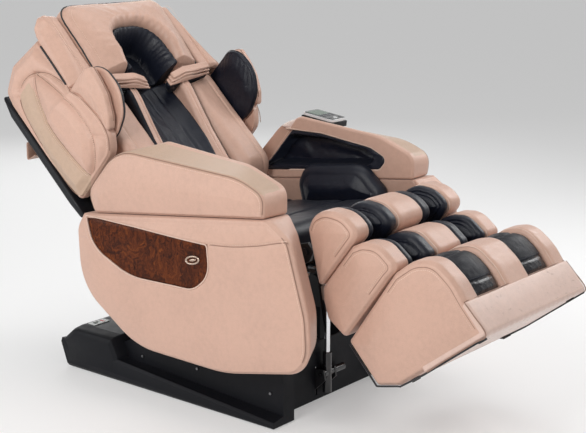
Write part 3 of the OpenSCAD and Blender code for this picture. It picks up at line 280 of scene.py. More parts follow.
def frame_map(origin, along, up):
    """Point (x, along, up) in millimetres to the row frame in metres: origin plus the two turned directions."""
    origin, along, up = (np.array(v, float) for v in (origin, along, up))

    def place(points):
        p = np.asarray(points, float)
        yz = origin + p[..., 1:2] * along + p[..., 2:3] * up
        return np.concatenate([p[..., :1], yz], -1) / 1000
    return place


def turned(place, order):
    """The same frame with its three coordinates taken in another order, for pads that lie in another plane."""
    back_order = [order.index(k) for k in range(3)]
    return lambda p: place(np.asarray(p, float)[..., back_order])


def direction(angle):
    """Unit direction at an angle from the first axis."""
    return math.cos(angle), math.sin(angle)


HINGE = (166.32, 500.06)
in_row = frame_map((0, 0), (1, 0), (0, 1))
in_seat = frame_map((-184, 300), direction(-SEAT_PITCH), direction(math.pi / 2 - SEAT_PITCH))
in_back = frame_map(HINGE, direction(BACK_SLOPE), direction(BACK_SLOPE + math.pi / 2))
in_leg = frame_map((-534.44, 560.0), direction(LEG_SLOPE + math.pi), direction(LEG_SLOPE + math.pi / 2))
flat_in_back = turned(in_back, [2, 0, 1])   # points are (up, x, along)
across_back = turned(in_back, [1, 0, 2])    # points are (along, x, up)

# ---------- outlines in a side plane --------------------------------------------
# A corner is (along, up, radius).
ARC_POINTS = 13


def unit(v):
    """Vectors brought to length one."""
    return v / np.maximum(np.linalg.norm(v, axis=-1, keepdims=True), 1e-12)


def line_steps(line):
    """Distance run along a line at each of its points."""
    return np.concatenate([[0], np.cumsum(np.linalg.norm(np.diff(line, axis=0), axis=1))])


def at_steps(line, at):
    """Points of a line at the given distances along it."""
    s = line_steps(line)
    return np.column_stack([np.interp(at, s, line[:, k]) for k in range(line.shape[1])])


def left_of(line):
    """Unit directions square to a flat line, to its left."""
    d = unit(np.gradient(line, axis=0))
    return np.column_stack([-d[:, 1], d[:, 0]])


def nearest_at(line, spot):
    """Index of the line's point that lies nearest to the spot."""
    return int(np.argmin(((line - np.array(spot)[:2]) ** 2).sum(1)))


def turned_left(corners):
    """The corners listed so that the inside lies to the left."""
    c = np.array(corners, float)
    n = np.roll(c, -1, 0)
    return c if (c[:, 0] * n[:, 1] - n[:, 0] * c[:, 1]).sum() > 0 else c[::-1]


def inset(corners, by):
    """Corners moved inwards by a distance along both edge normals, with their radii to match."""
    c = turned_left(corners)
    a, d = np.roll(c, 1, 0)[:, :2], np.roll(c, -1, 0)[:, :2]
    b = c[:, :2]
    u, v = unit(b - a), unit(d - b)
    n1, n2 = np.stack([-u[:, 1], u[:, 0]], 1), np.stack([-v[:, 1], v[:, 0]], 1)
    moved = b + by * (n1 + n2) / (1 + (n1 * n2).sum(1, keepdims=True))
    convex = u[:, 0] * v[:, 1] - u[:, 1] * v[:, 0] > 0
    radius = np.maximum(0.5, np.where(convex, c[:, 2] - by, c[:, 2] + by))
    return np.column_stack([moved, radius])


def rounded(corners, spacing=2.0):
    """Closed outline, each corner turned by an arc cut down to half its shorter edge; even points."""
    c = turned_left(corners)
    pts = []
    for a, b, d in zip(np.roll(c, 1, 0), c, np.roll(c, -1, 0)):
        u, v = unit(a[:2] - b[:2]), unit(d[:2] - b[:2])
        half = math.acos(float(np.clip(u @ v, -1, 1))) / 2
        room = min(np.linalg.norm(a[:2] - b[:2]), np.linalg.norm(d[:2] - b[:2]))
        r = min(b[2], 0.49 * room * math.tan(half))
        centre = b[:2] + unit(u + v) * r / math.sin(half)
        p, q = b[:2] + u * r / math.tan(half), b[:2] + v * r / math.tan(half)
        start = math.atan2(p[1] - centre[1], p[0] - centre[0])
        turn = (math.atan2(q[1] - centre[1], q[0] - centre[0]) - start + math.pi) % (2 * math.pi) - math.pi
        w = start + turn * np.linspace(0, 1, ARC_POINTS)
        pts.append(centre + r * np.column_stack([np.cos(w), np.sin(w)]))
    return even(np.concatenate(pts), spacing, True)


def even(points, spacing, closed=False):
    """The same line with points at even steps along it."""
    p = np.asarray(points, float)
    if closed:
        p = np.concatenate([p, p[:1]])
    length = line_steps(p)[-1]
    n = max(3, int(round(length / spacing)))
    return at_steps(p, np.linspace(0, length, n + 1)[: n if closed else n + 1])


def curve(points, spacing=2.0):
    """Smooth open line through the points: cubic blends of neighbours, then even steps."""
    p = np.asarray(points, float)
    n = len(p)
    t = np.linspace(0, 1, ARC_POINTS)[:-1][None, :, None]
    p0, p1, p2, p3 = (p[np.clip(np.arange(n - 1) + k, 0, n - 1)][:, None] for k in (-1, 0, 1, 2))
    q = 0.5 * (2 * p1 + (p2 - p0) * t + (2 * p0 - 5 * p1 + 4 * p2 - p3) * t**2
               + (3 * p1 - p0 - 3 * p2 + p3) * t**3)
    return even(np.concatenate([q.reshape(-1, p.shape[1]), p[-1:]]), spacing)


def sides(line, cuts, nu, nv):
    """A closed line cut at four points into sides of nu, nv, nu and nv even steps."""
    at = sorted(nearest_at(line, c) for c in cuts)
    k = at.index(nearest_at(line, cuts[0]))
    at = at[k:] + [a + len(line) for a in at[:k]]
    at.append(at[0] + len(line))
    loop = np.concatenate([line, line, line[:1]])
    out = []
    for i, steps in enumerate((nu, nv, nu, nv)):
        x = np.linspace(at[i], at[i + 1], steps + 1)[:-1]
        lo = np.floor(x).astype(int)
        f = (x - lo)[:, None]
        out.append(loop[lo % len(line)] * (1 - f) + loop[(lo + 1) % len(line)] * f)
    return np.concatenate(out)


def patch(ring, nu, nv):
    """Points inside a four-sided ring: each the blend of the opposite sides less the blend of the corners.
    Shape (nv + 1, nu + 1)."""
    b, r = ring[: nu + 1], ring[nu: nu + nv + 1]
    t = ring[nu + nv: 2 * nu + nv + 1][::-1]
    left = np.concatenate([ring[2 * nu + nv:], ring[:1]])[::-1]
    u = np.linspace(0, 1, nu + 1)[None, :, None]
    v = np.linspace(0, 1, nv + 1)[:, None, None]
    return ((1 - v) * b[None] + v * t[None] + (1 - u) * left[:, None] + u * r[:, None]
            - (1 - u) * (1 - v) * b[0] - u * (1 - v) * b[-1] - (1 - u) * v * t[0] - u * v * t[-1])


def distance(points, line, closed=False):
    """Shortest distance from each point to a line of close points, taken to its segments."""
    p = np.asarray(points, float).reshape(-1, 2)
    a = np.asarray(line, float)
    b = np.roll(a, -1, 0) if closed else a[1:]
    a = a if closed else a[:-1]
    out = np.empty(len(p))
    ab = b - a
    size = np.maximum((ab**2).sum(1), 1e-9)
    for i in range(0, len(p), 4000):
        q = p[i: i + 4000, None]
        t = np.clip(((q - a) * ab).sum(-1) / size, 0, 1)
        out[i: i + 4000] = np.sqrt((((q - a) - t[..., None] * ab) ** 2).sum(-1).min(1))
    return out.reshape(np.asarray(points).shape[:-1])


def inside(points, line):
    """True where a point lies inside a closed line, by counting crossings of a ray."""
    p = np.asarray(points, float).reshape(-1, 2)
    a, b = line, np.roll(line, -1, 0)
    up = (a[None, :, 1] > p[:, None, 1]) != (b[None, :, 1] > p[:, None, 1])
    steep = np.where(b[:, 1] == a[:, 1], 1e-9, b[:, 1] - a[:, 1])
    x = a[:, 0] + (p[:, None, 1] - a[:, 1]) * (b[:, 0] - a[:, 0]) / steep
    return ((up & (p[:, None, 0] < x)).sum(1) % 2 == 1).reshape(np.asarray(points).shape[:-1])


def groove(points, line, depth, width, closed=False):
    """Sewn channel: a dip of that depth that fades with the square of the distance over width."""
    return -depth * np.exp(-(distance(points, line, closed) / width) ** 2)


# ---------- wrinkles ---------------------------------------------------------------
PRIMES = (73856093, 19349663, 83492791)     # one for each axis, to scatter the lattice values


def waves(p, size, seed, octaves=3):
    """Smooth noise in -1..1: hashed lattice values blended with a cubic step, over halving sizes."""
    p = np.asarray(p, float)
    total, weight = np.zeros(p.shape[:-1]), 0.0
    for o in range(octaves):
        q = p / size * 2**o + 17.3 * seed + 5.1 * o
        i = np.floor(q).astype(np.int64)
        f = q - i
        f = f * f * (3 - 2 * f)
        value = np.zeros(p.shape[:-1])
        for corner in range(2 ** p.shape[-1]):
            bits = [(corner >> k) & 1 for k in range(p.shape[-1])]
            h = np.zeros(p.shape[:-1], np.int64) + seed * 7919
            w = np.ones(p.shape[:-1])
            for k, bit in enumerate(bits):
                h = (h ^ ((i[..., k] + bit) * PRIMES[k])) * 1664525 + 1013904223
                w = w * (f[..., k] if bit else 1 - f[..., k])
            value += w * (((h >> 13) & 0xFFFF) / 32767.5 - 1)
        total += value * 0.5**o
        weight += 0.5**o
    return total / weight


def pleats(s, d, pitch, height, reach, seed=1):
    """Gathers that start at a sewn edge: a wandering wave along s that dies out with the distance d."""
    q = np.stack([s, d * 0.35], -1)
    phase = 2 * math.pi * s / pitch + 2.4 * waves(q, pitch * 2.2, seed, 2)
    keep = 0.55 + 0.45 * waves(q, pitch * 3, seed + 5, 1)
    return height * keep * np.sin(phase) * np.exp(-d / reach)


# ---------- meshes ------------------------------------------------------------------


class Shape:
    """Grids gathered into one mesh. Points are millimetres (x, along, up) in the frame of its place."""

    def __init__(self, place):
        self.place, self.points, self.faces, self.slots, self.size = place, [], [], [], 0

    def add(self, points, faces, slot=0):
        """Adds points and one or more face arrays, turned outwards, with one finish for all or one for each."""
        p = self.place(np.asarray(points, float).reshape(-1, 3))
        f = [np.asarray(q, np.int64) for q in (faces if isinstance(faces, list) else [faces])]
        volume = 0.0
        for q in f:
            for k in range(1, q.shape[1] - 1):
                volume += (p[q[:, 0]] * np.cross(p[q[:, k]], p[q[:, k + 1]])).sum()
        if volume < 0:
            f = [q[:, ::-1] for q in f]
        self.points.append(p)
        for q, finish in zip(f, slot if isinstance(slot, list) else [slot] * len(f)):
            self.faces.append(q + self.size)
            self.slots.append(np.broadcast_to(finish, len(q)))
        self.size += len(p)
        return self

    def mirrored(self):
        """The same shape on the other side: x changes sign and each face is turned round."""
        other = Shape(self.place)
        other.points = [p * np.array([-1, 1, 1]) for p in self.points]
        other.faces = [f[:, ::-1] for f in self.faces]
        other.slots, other.size = list(self.slots), self.size
        return other

    def joined(self, *others):
        """Takes in the faces of other shapes."""
        for o in others:
            self.points += o.points
            self.faces += [f + self.size for f in o.faces]
            self.slots += o.slots
            self.size += o.size
        return self

    def mesh(self, name):
        """The gathered faces as mesh data."""
        data = bpy.data.meshes.new(name)
        data.from_pydata(np.concatenate(self.points).tolist(), [], [f for q in self.faces for f in q.tolist()])
        return data

    def build(self, name, materials, body, slot, replaces=(), padded=None):
        """Writes the mesh, welds what meets, hangs it on its body and hides the made parts that it replaces."""
        data = self.mesh(name)
        data.update()
        data.polygons.foreach_set("material_index", np.concatenate(self.slots).astype(np.int32))
        data.polygons.foreach_set("use_smooth", np.ones(len(data.polygons), bool))
        for m in materials:
            data.materials.append(m)
        bm = bmesh.new()
        bm.from_mesh(data)
        bmesh.ops.remove_doubles(bm, verts=bm.verts, dist=4e-6)
        bmesh.ops.dissolve_degenerate(bm, dist=1e-6, edges=bm.edges)
        bm.to_mesh(data)
        bm.free()
        piece = shown(name, data)
        if body:
            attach(piece, body)
        if replaces:
            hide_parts(*replaces)
        return piece


def grid_faces(rows, cols, wrap=False):
    """Quads between neighbouring rows and columns; wrap joins the last column to the first."""
    i = np.arange(rows - 1)[:, None] * cols
    j = np.arange(cols if wrap else cols - 1)[None, :]
    k = (j + 1) % cols
    return np.stack([i + j, i + k, i + cols + k, i + cols + j], -1).reshape(-1, 4)


def cap_faces(ring_at, inner_at, nu, nv):
    """Quads of a four-sided patch whose border is a ring already in the mesh."""
    g = np.empty((nv + 1, nu + 1), np.int64)
    r = ring_at + np.arange(2 * (nu + nv))
    g[0] = r[: nu + 1]
    g[:, -1] = r[nu: nu + nv + 1]
    g[-1] = r[nu + nv: 2 * nu + nv + 1][::-1]
    g[:, 0] = np.concatenate([r[2 * nu + nv:], r[:1]])[::-1]
    g[1:-1, 1:-1] = inner_at + np.arange((nu - 1) * (nv - 1)).reshape(nv - 1, nu - 1)
    return np.stack([g[:-1, :-1], g[:-1, 1:], g[1:, 1:], g[1:, :-1]], -1).reshape(-1, 4)


def end_fans(rows, cols):
    """Triangles from the first and the last ring of a wrapped grid to the two points that follow the grid."""
    k = np.arange(cols)
    j, last, centre = (k + 1) % cols, (rows - 1) * cols, np.full(cols, rows * cols)
    return [np.stack([centre, j, k], -1), np.stack([centre + 1, last + k, last + j], -1)]


def prism(place, a, b, slot=0):
    """Straight block between two matching rings, both closed to their middles."""
    n = len(a)
    k = np.arange(n)
    j = (k + 1) % n
    faces = [np.stack([k, j, n + j, n + k], -1), np.stack([j, k, np.full(n, 2 * n)], -1),
             np.stack([n + k, n + j, np.full(n, 2 * n + 1)], -1)]
    return Shape(place).add(np.concatenate([a, b, [a.mean(0)], [b.mean(0)]]), faces, slot)


def two_faced(place, front, back, slots=0):
    """Closed slab from two matching grids, joined round their borders."""
    rows, cols = front.shape[:2]
    n = rows * cols
    g = np.arange(n).reshape(rows, cols)
    edge = np.concatenate([g[0, :-1], g[:-1, -1], g[-1, :0:-1], g[:0:-1, 0]])
    after, quads = np.roll(edge, -1), grid_faces(rows, cols)
    return Shape(place).add(np.concatenate([front.reshape(-1, 3), back.reshape(-1, 3)]),
                            [quads, quads[:, ::-1] + n, np.stack([after, edge, edge + n, after + n], -1)], slots)


def cloth_face(path, xs, off):
    """Grid over a flat path and a row of x values, lifted by off to the left of the path."""
    side = left_of(path)
    return np.stack([np.broadcast_to(xs, off.shape), path[:, :1] + side[:, :1] * off,
                     path[:, 1:] + side[:, 1:] * off], -1)


def sheet_shape(place, front, back):
    """Thin closed cloth: one grid out, the other back, joined at both free edges and both ends."""
    ring = np.concatenate([front, back[::-1]])
    n, m = ring.shape[:2]
    k, c = np.arange(n // 2 - 1), np.arange(m - 1)
    ends = [np.stack([k, k + 1, n - 2 - k, n - 1 - k], -1) * m + at for at in (0, m - 1)]
    wrapped = np.concatenate([grid_faces(n, m), np.stack([(n - 1) * m + c, (n - 1) * m + c + 1, c + 1, c], -1)])
    return Shape(place).add(ring, [wrapped, ends[0], ends[1][:, ::-1]])


def face_values(piece, what):
    """One value or one vector for each face of a piece."""
    width = 1 if what == "material_index" else 3
    out = np.empty(width * len(piece.data.polygons), np.int32 if width == 1 else np.float64)
    piece.data.polygons.foreach_get(what, out)
    return out if width == 1 else out.reshape(-1, 3)


def finish_faces(piece, chosen, slot):
    """Gives the chosen faces of a piece another of its finishes."""
    finish = np.where(chosen, slot, face_values(piece, "material_index"))
    piece.data.polygons.foreach_set("material_index", finish.astype(np.int32))


def cut_away(piece, shape):
    """Takes the shape out of the piece."""
    tool = shown("cutter", shape.mesh("cutter"))
    mod = piece.modifiers.new("cut", "BOOLEAN")
    mod.operation, mod.solver, mod.object = "DIFFERENCE", "EXACT", tool
    done = bpy.data.meshes.new_from_object(piece.evaluated_get(bpy.context.evaluated_depsgraph_get()))
    piece.modifiers.clear()
    old, piece.data = piece.data, done
    done.name = old.name
    bpy.data.meshes.remove(old)
    bpy.data.objects.remove(tool)


# ---------- padded slabs, cords and stitches ---------------------------------------
CORD_SIDES = 8
STITCH_PITCH, STITCH_LENGTH, STITCH_RADIUS = 7.0, 5.4, 0.8
ALL_SAME = (0, 0, 0)
UPWARDS, FORWARD_UP = (0, 0, 1.0), (0, 0.2, 1.0)


def fine(n):
    """Grid steps, as given."""
    return n


def round_angles(n):
    """Even angles round a circle."""
    return np.linspace(0, 2 * math.pi, n, endpoint=False)


def rim(x_from, x_to, radius, steps=6):
    """Rounded edge as (x, inset): a quarter circle from the wall at x_from to the face at x_to."""
    w = np.linspace(0, math.pi / 2, steps + 1)[1:]
    return [(x_from + (x_to - x_from) * math.sin(a), radius * (1 - math.cos(a))) for a in w]


def domed(d, height, reach):
    """Rise of a domed face at the distance d from its edge."""
    return height * (1 - (1 - np.clip(d / reach, 0, 1)) ** 2)


def pad_grid(inner, outer, cuts, x0, x1, r0, r1, nu, nv, crown0=0.0, crown1=0.0, walls=4, seam=0.0, steps=6,
             dome=60.0):
    """Padded slab between x0 and x1. Rings follow the inner corners at x0 and the outer ones at x1, with edges
    rounded by r0 and r1, a sewn dip of seam at the middle of the outer edge, and both end faces domed.
    Returns the rings and, for each end face, its flat points, their x and their distance to the edge."""
    inner, outer = turned_left(inner), turned_left(outer)
    a0, a1 = x0 + crown0, x1 - crown1
    rows = [(x, i, 0.0) for x, i in rim(a0 + r0, a0, r0, steps)][::-1]
    w0, w1 = a0 + r0, a1 - r1
    rows += [(w0 + (w1 - w0) * t, 0.0, t) for t in np.linspace(0, 1, walls + 1)]
    rows += [(x, i, 1.0) for x, i in rim(w1, a1, r1, steps)]
    if seam:
        k = len(rows) - steps + steps // 2 - 1
        x, i, t = rows[k]
        rows[k] = (x - 0.6 * seam, i + 0.8 * seam, t)
    rings, flat = [], []
    for x, i, t in rows:
        ring = sides(rounded(inset(inner * (1 - t) + outer * t, i)), cuts, nu, nv)
        flat.append(ring)
        rings.append(np.column_stack([np.full(len(ring), x), ring]))
    caps = []
    for ring, x, crown, sign in ((flat[0], a0, crown0, -1), (flat[-1], a1, crown1, 1)):
        g = patch(ring, nu, nv)
        d = distance(g, ring, True)
        caps.append((g, np.full(d.shape, x) + sign * domed(d, crown, dome), d))
    return np.array(rings), caps


def pad_shape(place, inner, outer, cuts, x0, x1, r0, r1, nu, nv, crown0=0.0, crown1=0.0, walls=4, seam=0.0,
              steps=6, dome=60.0, face0=None, face1=None, bend=None, slots=ALL_SAME):
    """Closed mesh of a padded slab. face0 and face1 add to x over the end faces from (points, distance);
    bend moves all points; slots gives the finish of the wall rows and the two faces."""
    rings, caps = pad_grid(inner, outer, cuts, x0, x1, r0, r1, nu, nv, crown0, crown1, walls, seam, steps, dome)
    rows, cols = rings.shape[:2]
    pts, faces, at = [rings.reshape(-1, 3)], [grid_faces(rows, cols, True)], rows * cols
    for k, ((g, x, d), extra) in enumerate(zip(caps, (face0, face1))):
        if extra is not None:
            x = x + extra(g, d)
        pts.append(np.concatenate([x[1:-1, 1:-1, None], g[1:-1, 1:-1]], -1).reshape(-1, 3))
        q = cap_faces(0 if k == 0 else (rows - 1) * cols, at, nu, nv)
        faces.append(q[:, ::-1] if k == 0 else q)
        at += len(pts[-1])
    p = np.concatenate(pts)
    wall = np.repeat(np.broadcast_to(slots[0], rows - 1), cols)
    return Shape(place).add(p if bend is None else bend(p), faces, [wall, slots[1], slots[2]])


def tube_shape(place, path, radius, closed=False, slot=0, ref=(1.0, 0.0, 0.0)):
    """Round cord along a path: circles square to the path, turned about the reference direction."""
    p = np.asarray(path, float)
    t = unit(np.roll(p, -1, 0) - np.roll(p, 1, 0)) if closed else unit(np.gradient(p, axis=0))
    a = unit(np.cross(t, np.array(ref)))
    b = np.cross(t, a)
    w = round_angles(CORD_SIDES)
    pts = p[:, None] + radius * (np.cos(w)[None, :, None] * a[:, None] + np.sin(w)[None, :, None] * b[:, None])
    n = len(p)
    if closed:
        return Shape(place).add(pts, grid_faces(n + 1, CORD_SIDES, True) % (n * CORD_SIDES), slot)
    return Shape(place).add(np.concatenate([pts.reshape(-1, 3), p[:1], p[-1:]]),
                            [grid_faces(n, CORD_SIDES, True), *end_fans(n, CORD_SIDES)], slot)


def stitch_shape(place, path, slot=0, normal=(1.0, 0.0, 0.0), lift=0.1):
    """Row of stitches: one small eight-faced spindle for each step along the path."""
    line = even(path, STITCH_PITCH)
    mid = 0.5 * (line[1:] + line[:-1]) + lift * np.array(normal)
    t = unit(line[1:] - line[:-1])
    a = unit(np.cross(t, np.array(normal, float)))
    b = np.cross(t, a)
    spindle = np.array([[-0.5, 0, 0], [-0.3, 1, 0], [-0.3, 0, 1], [-0.3, -1, 0], [-0.3, 0, -1],
                        [0.3, 1, 0], [0.3, 0, 1], [0.3, -1, 0], [0.3, 0, -1], [0.5, 0, 0]])
    pts = (mid[:, None] + STITCH_LENGTH * spindle[None, :, :1] * t[:, None]
           + STITCH_RADIUS * (spindle[None, :, 1:2] * a[:, None] + spindle[None, :, 2:] * b[:, None]))
    quads = np.array([[1, 5, 6, 2], [2, 6, 7, 3], [3, 7, 8, 4], [4, 8, 5, 1]])
    tris = np.array([[0, 1, 2], [0, 2, 3], [0, 3, 4], [0, 4, 1], [9, 6, 5], [9, 7, 6], [9, 8, 7], [9, 5, 8]])
    off = (np.arange(len(mid)) * len(spindle))[:, None, None]
    return Shape(place).add(pts, [(quads[None] + off).reshape(-1, 4), (tris[None] + off).reshape(-1, 3)], slot)


def run_of(line, keep):
    """The unbroken run of a closed line whose points pass the test."""
    ok = keep(line)
    first = int(np.argmax(ok & ~np.roll(ok, 1)))
    line, ok = np.roll(line, -first, 0), np.roll(ok, -first)
    return line[: int(np.argmin(ok)) if not ok.all() else len(line)]


def at_x(line, x):
    """A flat line as points with x in front."""
    return np.column_stack([np.broadcast_to(x, len(line)), line])


def both(name, shape, materials, bodies, slot, replaces=((), ()), **more):
    """The shape on the left (x > 0) and its mirror on the right, each on its own body."""
    other = shape.mirrored()
    return (shape.build(name + "_left", materials, bodies[0], slot, replaces[0], **more),
            other.build(name + "_right", materials, bodies[1], slot, replaces[1], **more))


def pair(name, shape, materials, body, slot, replaces=(), **more):
    """The shape and its mirror as one piece."""
    return shape.joined(shape.mirrored()).build(name, materials, body, slot, replaces, **more)


# ---------- side shells with their wood panels -----------------------------------
SHELL_X, CHAIR_X, SHELL_TOP = 327.0, 455.0, 347.6
SHELL_EDGE, SHELL_CROWN, SHELL_DOME = 17.0, 10.0, 90.0
SHELL_FACE = CHAIR_X - SHELL_CROWN
SHELL_GRID, PANEL_GRID, PANEL_THICK = (fine(170), fine(84)), (fine(96), fine(34)), 3.5
shell_inner = [[-392, 354, 30], [-422, 290, 60], [-468, 60, 200], [-452, -94, 100], [-160, -132, 500],
               [212, -80, 300], [438, 100, 240], [428, 300, 60], [392, 351, 24]]
shell_outer = [[-395, 354, 34], [-472, 290, 60], [-514, 60, 250], [-504, -108, 110], [-160, -141, 500],
               [222, -90, 300], [456, 100, 250], [442, 300, 60], [402, 351, 24]]
shell_cuts = [(-500, -100), (455, 60), (402, 351), (-395, 354)]
inlay = [[386, 343, 6], [352, 236, 150], [200, 150, 300], [-82, 122, 90], [-158, 172, 110],
         [-158, 268, 10], [-40, 284, 500], [150, 312, 500]]
inlay_line = rounded(inlay)
band_seam = curve([(-156, 269), (-250, 266), (-350, 272), (-430, 282), (-474, 286)])


def shell_swell(g, d):
    """Slow leather waves that fade towards the shell's edge."""
    return 1.1 * waves(g, 150, 3) * np.clip(d / 40, 0, 1)


def shell_detail(g, d):
    """Recess behind the wood, a raised lip round it, the sewn band above, and slow leather waves."""
    away = distance(g, inlay_line, True) * np.where(inside(g, inlay_line), -1, 1)
    x = -7.0 * np.clip(0.5 - away / 5, 0, 1)
    x = x + 1.6 * np.exp(-((away - 7) / 7) ** 2) * (away > 0)
    x = x + groove(g, band_seam, 2.4, 5)
    x = x + 2.5 * np.clip(distance(g, band_seam) / 40, 0, 1) * (g[..., 1] > 270) * (away > 0)
    return x + shell_swell(g, d)


def under_arm(p):
    """The shell's top is flat under the arm."""
    p = p.copy()
    p[:, 2] = np.minimum(p[:, 2], SHELL_TOP)
    return p


def shell_face(points, lift):
    """Points on the outer face of the shell over the given side-plane points."""
    ring = sides(rounded(inset(shell_outer, SHELL_EDGE)), shell_cuts, *SHELL_GRID)
    d = distance(points, ring, True)
    x = SHELL_FACE + domed(d, SHELL_CROWN, SHELL_DOME) + shell_swell(points, d)
    return np.column_stack([x + lift, points])


shell = pad_shape(in_seat, shell_inner, shell_outer, shell_cuts, SHELL_X + 8, CHAIR_X, 4, SHELL_EDGE,
                  *SHELL_GRID, 0, SHELL_CROWN, walls=6, seam=2.6, steps=8, dome=SHELL_DOME,
                  face1=shell_detail, bend=under_arm)
front_line = run_of(rounded(inset(shell_outer, 8.0)), lambda p: (p[:, 0] < -440) & (p[:, 1] < 300) & (p[:, 1] > -70))
front_thread = run_of(rounded(inset(shell_outer, 15.0)),
                      lambda p: (p[:, 0] < -430) & (p[:, 1] < 290) & (p[:, 1] > -60))
# the slot 3 cords along the front edge and the band seam are painted shade in those seams
shell.joined(tube_shape(in_seat, at_x(front_line, SHELL_FACE - 1.5), 1.5, slot=3))
shell.joined(stitch_shape(in_seat, at_x(front_thread, SHELL_FACE + 0.1), slot=2))
shell.joined(tube_shape(in_seat, shell_face(even(inlay_line, 5, True), 0.4), 2.6, closed=True, slot=1))
shell.joined(stitch_shape(in_seat, shell_face(band_seam + np.array([0, 5.5]), 0.7), slot=2))
shell.joined(tube_shape(in_seat, shell_face(band_seam, -2.2), 1.5, slot=3))
both("side_shell", shell, [tan_leather, piping, thread, seam_shadow_paint], ("seat", "seat"), "tan_leather",
     (["side_shell_left"], ["side_shell_right"]), padded=0.8)

panel_ring = sides(rounded(inset(inlay, 1.5)), [(-150, 140), (200, 152), (386, 343), (-158, 268)], *PANEL_GRID)
panel_points = patch(panel_ring, *PANEL_GRID)
panel_x = shell_face(panel_points.reshape(-1, 2), -1.6)[:, 0].reshape(panel_points.shape[:2])
panel_x = panel_x - 1.6 * (1 - np.clip(distance(panel_points, panel_ring, True) / 3, 0, 1)) ** 2
panel_front = np.concatenate([panel_x[..., None], panel_points], -1)
pair("wood_panels", two_faced(in_seat, panel_front, panel_front - [PANEL_THICK, 0, 0]), [wood], "seat", "wood",
     ["wood_inlays"])

# oval bezel and its bare oval centre
OVAL_AT, OVAL_TILT, OVAL_STEPS = (-92, 218), math.radians(-6), 72


def oval(half_w, half_h):
    """Ellipse round the bezel's middle, turned with the seat."""
    w = round_angles(OVAL_STEPS)
    a, b = half_w * np.cos(w), half_h * np.sin(w)
    return np.column_stack([OVAL_AT[0] + a * math.cos(OVAL_TILT) - b * math.sin(OVAL_TILT),
                            OVAL_AT[1] + a * math.sin(OVAL_TILT) + b * math.cos(OVAL_TILT)])


def lathe_oval(profile):
    """Closed ovals of (half width, half height, lift) joined by quads, the last drawn to the middle."""
    rings = np.array([at_x(oval(a, b), shell_face(oval(a, b), 0)[:, 0].mean() + x) for a, b, x in profile])
    return Shape(in_seat).add(rings, grid_faces(len(profile), OVAL_STEPS, True))


bezel = lathe_oval([(22, 7, -2.5), (31, 15, -2.5), (31, 15, 1.5), (29.5, 13.5, 3.6), (27, 11.5, 4.2), (24.5, 9.2, 3.0),
                    (23.2, 8, 0.6), (22, 7, -2.5)])
stud = lathe_oval([(0.02, 0.02, -2.4), (15, 4.4, -2.4), (15, 4.4, 0.4), (13, 3.4, 1.6), (8, 1.8, 2.1),
                   (0.02, 0.02, 2.2)])
pair("bezel_rings", bezel.joined(stud), [warm_metal], "seat", "badge", ["badge_rings"])

lining_seam = curve([(-300, 330), (60, 300), (380, 250)])
lining_side = inset(shell_inner, 6)
lining = pad_shape(in_seat, lining_side, lining_side, shell_cuts, SHELL_X, SHELL_X + 7.6, 2.5, 1, fine(80), fine(40),
                   0.6, 0, walls=1, steps=3, dome=30,
                   face0=lambda g, d: 0.4 * waves(g, 60, 9) - groove(g, lining_seam, 0.6, 4))
pair("inner_side_linings", lining, [tan_plain], "seat", "tan_lining", ["side_linings"], padded=0.4)

# ---------- arms --------------------------------------------------------------------
POCKET_X = 423.0
STRIP_LEVEL, STRIP_FROM = 0.62, (350, -545, 730)    # how level a face of the paler top strip is, and where it starts
arm_inner = [[300, 349, 10], [256, 408, 60], [90, 574, 46], [-262, 497, 200], [-396, 428, 46], [-386, 349, 10]]
arm_space = [[430, 379, 0.5], [-252, 379, 26], [-292, 418, 26], [-222, 460, 60], [-10, 512, 200], [130, 528, 40],
             [430, 528, 0.5]]
arm_soft = [[350, 349, 10], [374, 424, 100], [214, 562, 170], [-300, 473, 260], [-393, 420, 60], [-378, 349, 10]]
arm_cuts = [(-378, 349), (340, 349), (290, 500), (-393, 425)]


def arm_detail(g, d):
    """Slow waves, and gathers that run in from the arm's edge."""
    return 1.3 * waves(g, 120, 11) * np.clip(d / 30, 0, 1) + pleats(g[..., 0] + 600, d, 26, 0.5, 9, 4)


for hand, side in (("left", 1), ("right", -1)):
    arm = pad_shape(in_seat, arm_inner, arm_soft, arm_cuts, SHELL_X, CHAIR_X - 2, 9, 16, fine(150), fine(50),
                    2, 12, walls=12, seam=2.4, steps=8, dome=90, face1=arm_detail)
    arm = (arm if side > 0 else arm.mirrored()).build(
        "arm_body_" + hand, [tan_leather, tan_top, piping], "arm_" + hand[0], "tan_leather", ["arm_pad_" + hand],
        padded=0.8)
    space = rounded(arm_space)
    cut_away(arm, prism(in_seat, at_x(space, side * (SHELL_X - 30)), at_x(space, side * POCKET_X)))
    middle, normal = face_values(arm, "center") * 1000, face_values(arm, "normal")
    arm.data.polygons.foreach_set("material_index", np.zeros(len(middle), np.int32))
    middle[:, 0] = np.abs(middle[:, 0])
    finish_faces(arm, (normal[:, 2] > STRIP_LEVEL) & (middle > STRIP_FROM).all(1), 1)
strip_line = run_of(rounded(inset(arm_soft, 4.4)), lambda p: p[:, 1] > 362)
strip_low = run_of(rounded(inset(arm_soft, 12.0)), lambda p: p[:, 1] > 366)
inner_line = run_of(rounded(inset(arm_inner, 1.6)), lambda p: p[:, 1] > 362)
mouth = run_of(rounded(arm_space), lambda p: p[:, 0] < 150)
trim = tube_shape(in_seat, at_x(mouth, SHELL_X + 3.5), 3.4, slot=0)
